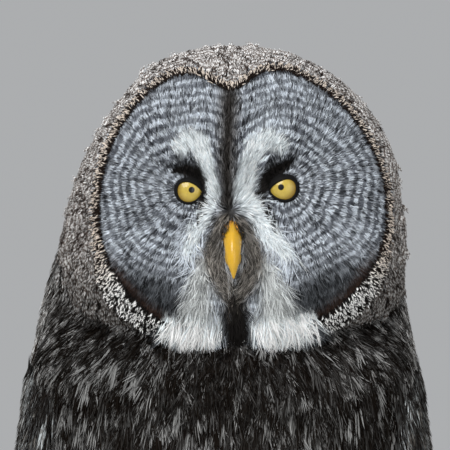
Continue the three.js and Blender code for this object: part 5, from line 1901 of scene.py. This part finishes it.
def build_camera(stage):
    """A camera straight in front, which sees frame_width at the middle of the head."""
    lens = bpy.data.cameras.new("camera")
    lens.lens = lens.sensor_width * stage.distance / stage.frame_width
    lens.clip_end = 100
    camera = put("camera", lens)
    camera.location = (stage.frame_x, to_row(HEAD_CENTRE)[1] - stage.distance, stage.frame_z)
    camera.rotation_euler = (math.pi / 2, 0, 0)
    bpy.context.scene.camera = camera


def build_lamps(stage):
    """Round lamps that point at the owl, and even light from all sides."""
    low, high = (np.array(v) for v in CAD_BOX)
    target = (low + high) / 2 + np.array([0, 0, LAMPS_AIM_ABOVE])
    for name, (size, place) in LAMPS.items():
        light = bpy.data.lights.new(name, "AREA")
        light.energy, light.shape, light.size = getattr(stage, name), "DISK", size
        lamp = put(name, light)
        lamp.location = place
        aim = unit(np.array(place) - target)
        lamp.rotation_euler = (math.acos(aim[2]), 0, math.atan2(aim[0], -aim[1]))
    world = bpy.data.worlds.new("air")
    world.use_nodes = True
    background = world.node_tree.nodes["Background"].inputs
    background["Color"].default_value = paint("backdrop")
    background["Strength"].default_value = stage.air
    bpy.context.scene.world = world
    bpy.context.scene.view_settings.view_transform = "Standard"


class OWL_OT_stage(bpy.types.Operator):
    """Makes the floor, the lamps and the camera"""
    bl_idname = "owl.stage"
    bl_label = "Stage"

    def execute(self, context):
        build_floor()
        build_camera(context.scene.owl_stage)
        build_lamps(context.scene.owl_stage)
        return {"FINISHED"}


class OWL_OT_skin(bpy.types.Operator):
    """Joins head, body and legs under one skin"""
    bl_idname = "owl.skin"
    bl_label = "Skin"

    def execute(self, context):
        build_skin()
        return {"FINISHED"}


class OWL_OT_face(bpy.types.Operator):
    """Covers both halves of the facial disc, and adds its long hairs and its ruff"""
    bl_idname = "owl.face"
    bl_label = "Face"

    def execute(self, context):
        for name, side in SIDES:
            build_disc(name, side)
        build_whiskers()
        build_ruff()
        return {"FINISHED"}


class OWL_OT_crown(bpy.types.Operator):
    """Covers crown, head sides and nape"""
    bl_idname = "owl.crown"
    bl_label = "Crown"

    def execute(self, context):
        for name, side in SIDES:
            build_crown(name, side)
        return {"FINISHED"}


class OWL_OT_body(bpy.types.Operator):
    """Covers neck, breast and belly"""
    bl_idname = "owl.body"
    bl_label = "Body"

    def execute(self, context):
        build_body()
        return {"FINISHED"}


class OWL_OT_legs(bpy.types.Operator):
    """Covers thighs, shanks and toes"""
    bl_idname = "owl.legs"
    bl_label = "Legs"

    def execute(self, context):
        for name, side in SIDES:
            build_leg_coat(name, side)
        return {"FINISHED"}


class OWL_OT_wings(bpy.types.Operator):
    """Builds both folded wings, the back between them and the loose barbs over them"""
    bl_idname = "owl.wings"
    bl_label = "Wings and back"

    def execute(self, context):
        for name, side in SIDES:
            build_wing(name, side)
        build_back()
        for name, side in SIDES:
            build_shoulders(name, side)
        return {"FINISHED"}


class OWL_OT_tail(bpy.types.Operator):
    """Builds the tail and its coverts"""
    bl_idname = "owl.tail"
    bl_label = "Tail"

    def execute(self, context):
        build_tail()
        return {"FINISHED"}


class OWL_OT_eyes(bpy.types.Operator):
    """Builds eyeballs and eyelids"""
    bl_idname = "owl.eyes"
    bl_label = "Eyes"

    def execute(self, context):
        for name, _ in SIDES:
            build_eye(name, GAZES[name])
        for name, side in SIDES:
            build_lids(name, side)
        return {"FINISHED"}


class OWL_OT_bill(bpy.types.Operator):
    """Builds both halves of the bill and its bristles"""
    bl_idname = "owl.bill"
    bl_label = "Bill"

    def execute(self, context):
        build_bill("bill_upper", UPPER_BILL, UPPER_SIZES, UPPER_KEEL)
        build_bill("bill_lower", LOWER_BILL, LOWER_SIZES, 0)
        build_bristles()
        return {"FINISHED"}


class OWL_OT_claws(bpy.types.Operator):
    """Builds the eight claws"""
    bl_idname = "owl.claws"
    bl_label = "Claws"

    def execute(self, context):
        for name, side in SIDES:
            for toe in TOES:
                build_claw(name, side, toe)
        return {"FINISHED"}


OPERATORS = [
    OWL_OT_stage, OWL_OT_skin, OWL_OT_face, OWL_OT_crown, OWL_OT_body, OWL_OT_legs, OWL_OT_wings, OWL_OT_tail,
    OWL_OT_eyes, OWL_OT_bill, OWL_OT_claws,
]


class OWL_PT_pieces(bpy.types.Panel):
    """The owl's pieces in the sidebar"""
    bl_idname = "OWL_PT_pieces"
    bl_label = "Great grey owl"
    bl_space_type = "VIEW_3D"
    bl_region_type = "UI"
    bl_category = "Owl"

    def draw(self, context):
        for operator in OPERATORS:
            self.layout.operator(operator.bl_idname)


GROUPS = {"owl_sizes": OwlSizes, "owl_colours": OwlColours, "owl_stage": OwlStage}
CLASSES = (*GROUPS.values(), *OPERATORS, OWL_PT_pieces)


def register():
    for kind in CLASSES:
        bpy.utils.register_class(kind)
    for name, kind in GROUPS.items():
        setattr(bpy.types.Scene, name, bpy.props.PointerProperty(type=kind))


def unregister():
    for name in GROUPS:
        delattr(bpy.types.Scene, name)
    for kind in reversed(CLASSES):
        bpy.utils.unregister_class(kind)


def main():
    register()
    for operator in OPERATORS:
        getattr(bpy.ops.owl, operator.bl_idname.split(".")[1])()


if __name__ == "__main__":
    main()
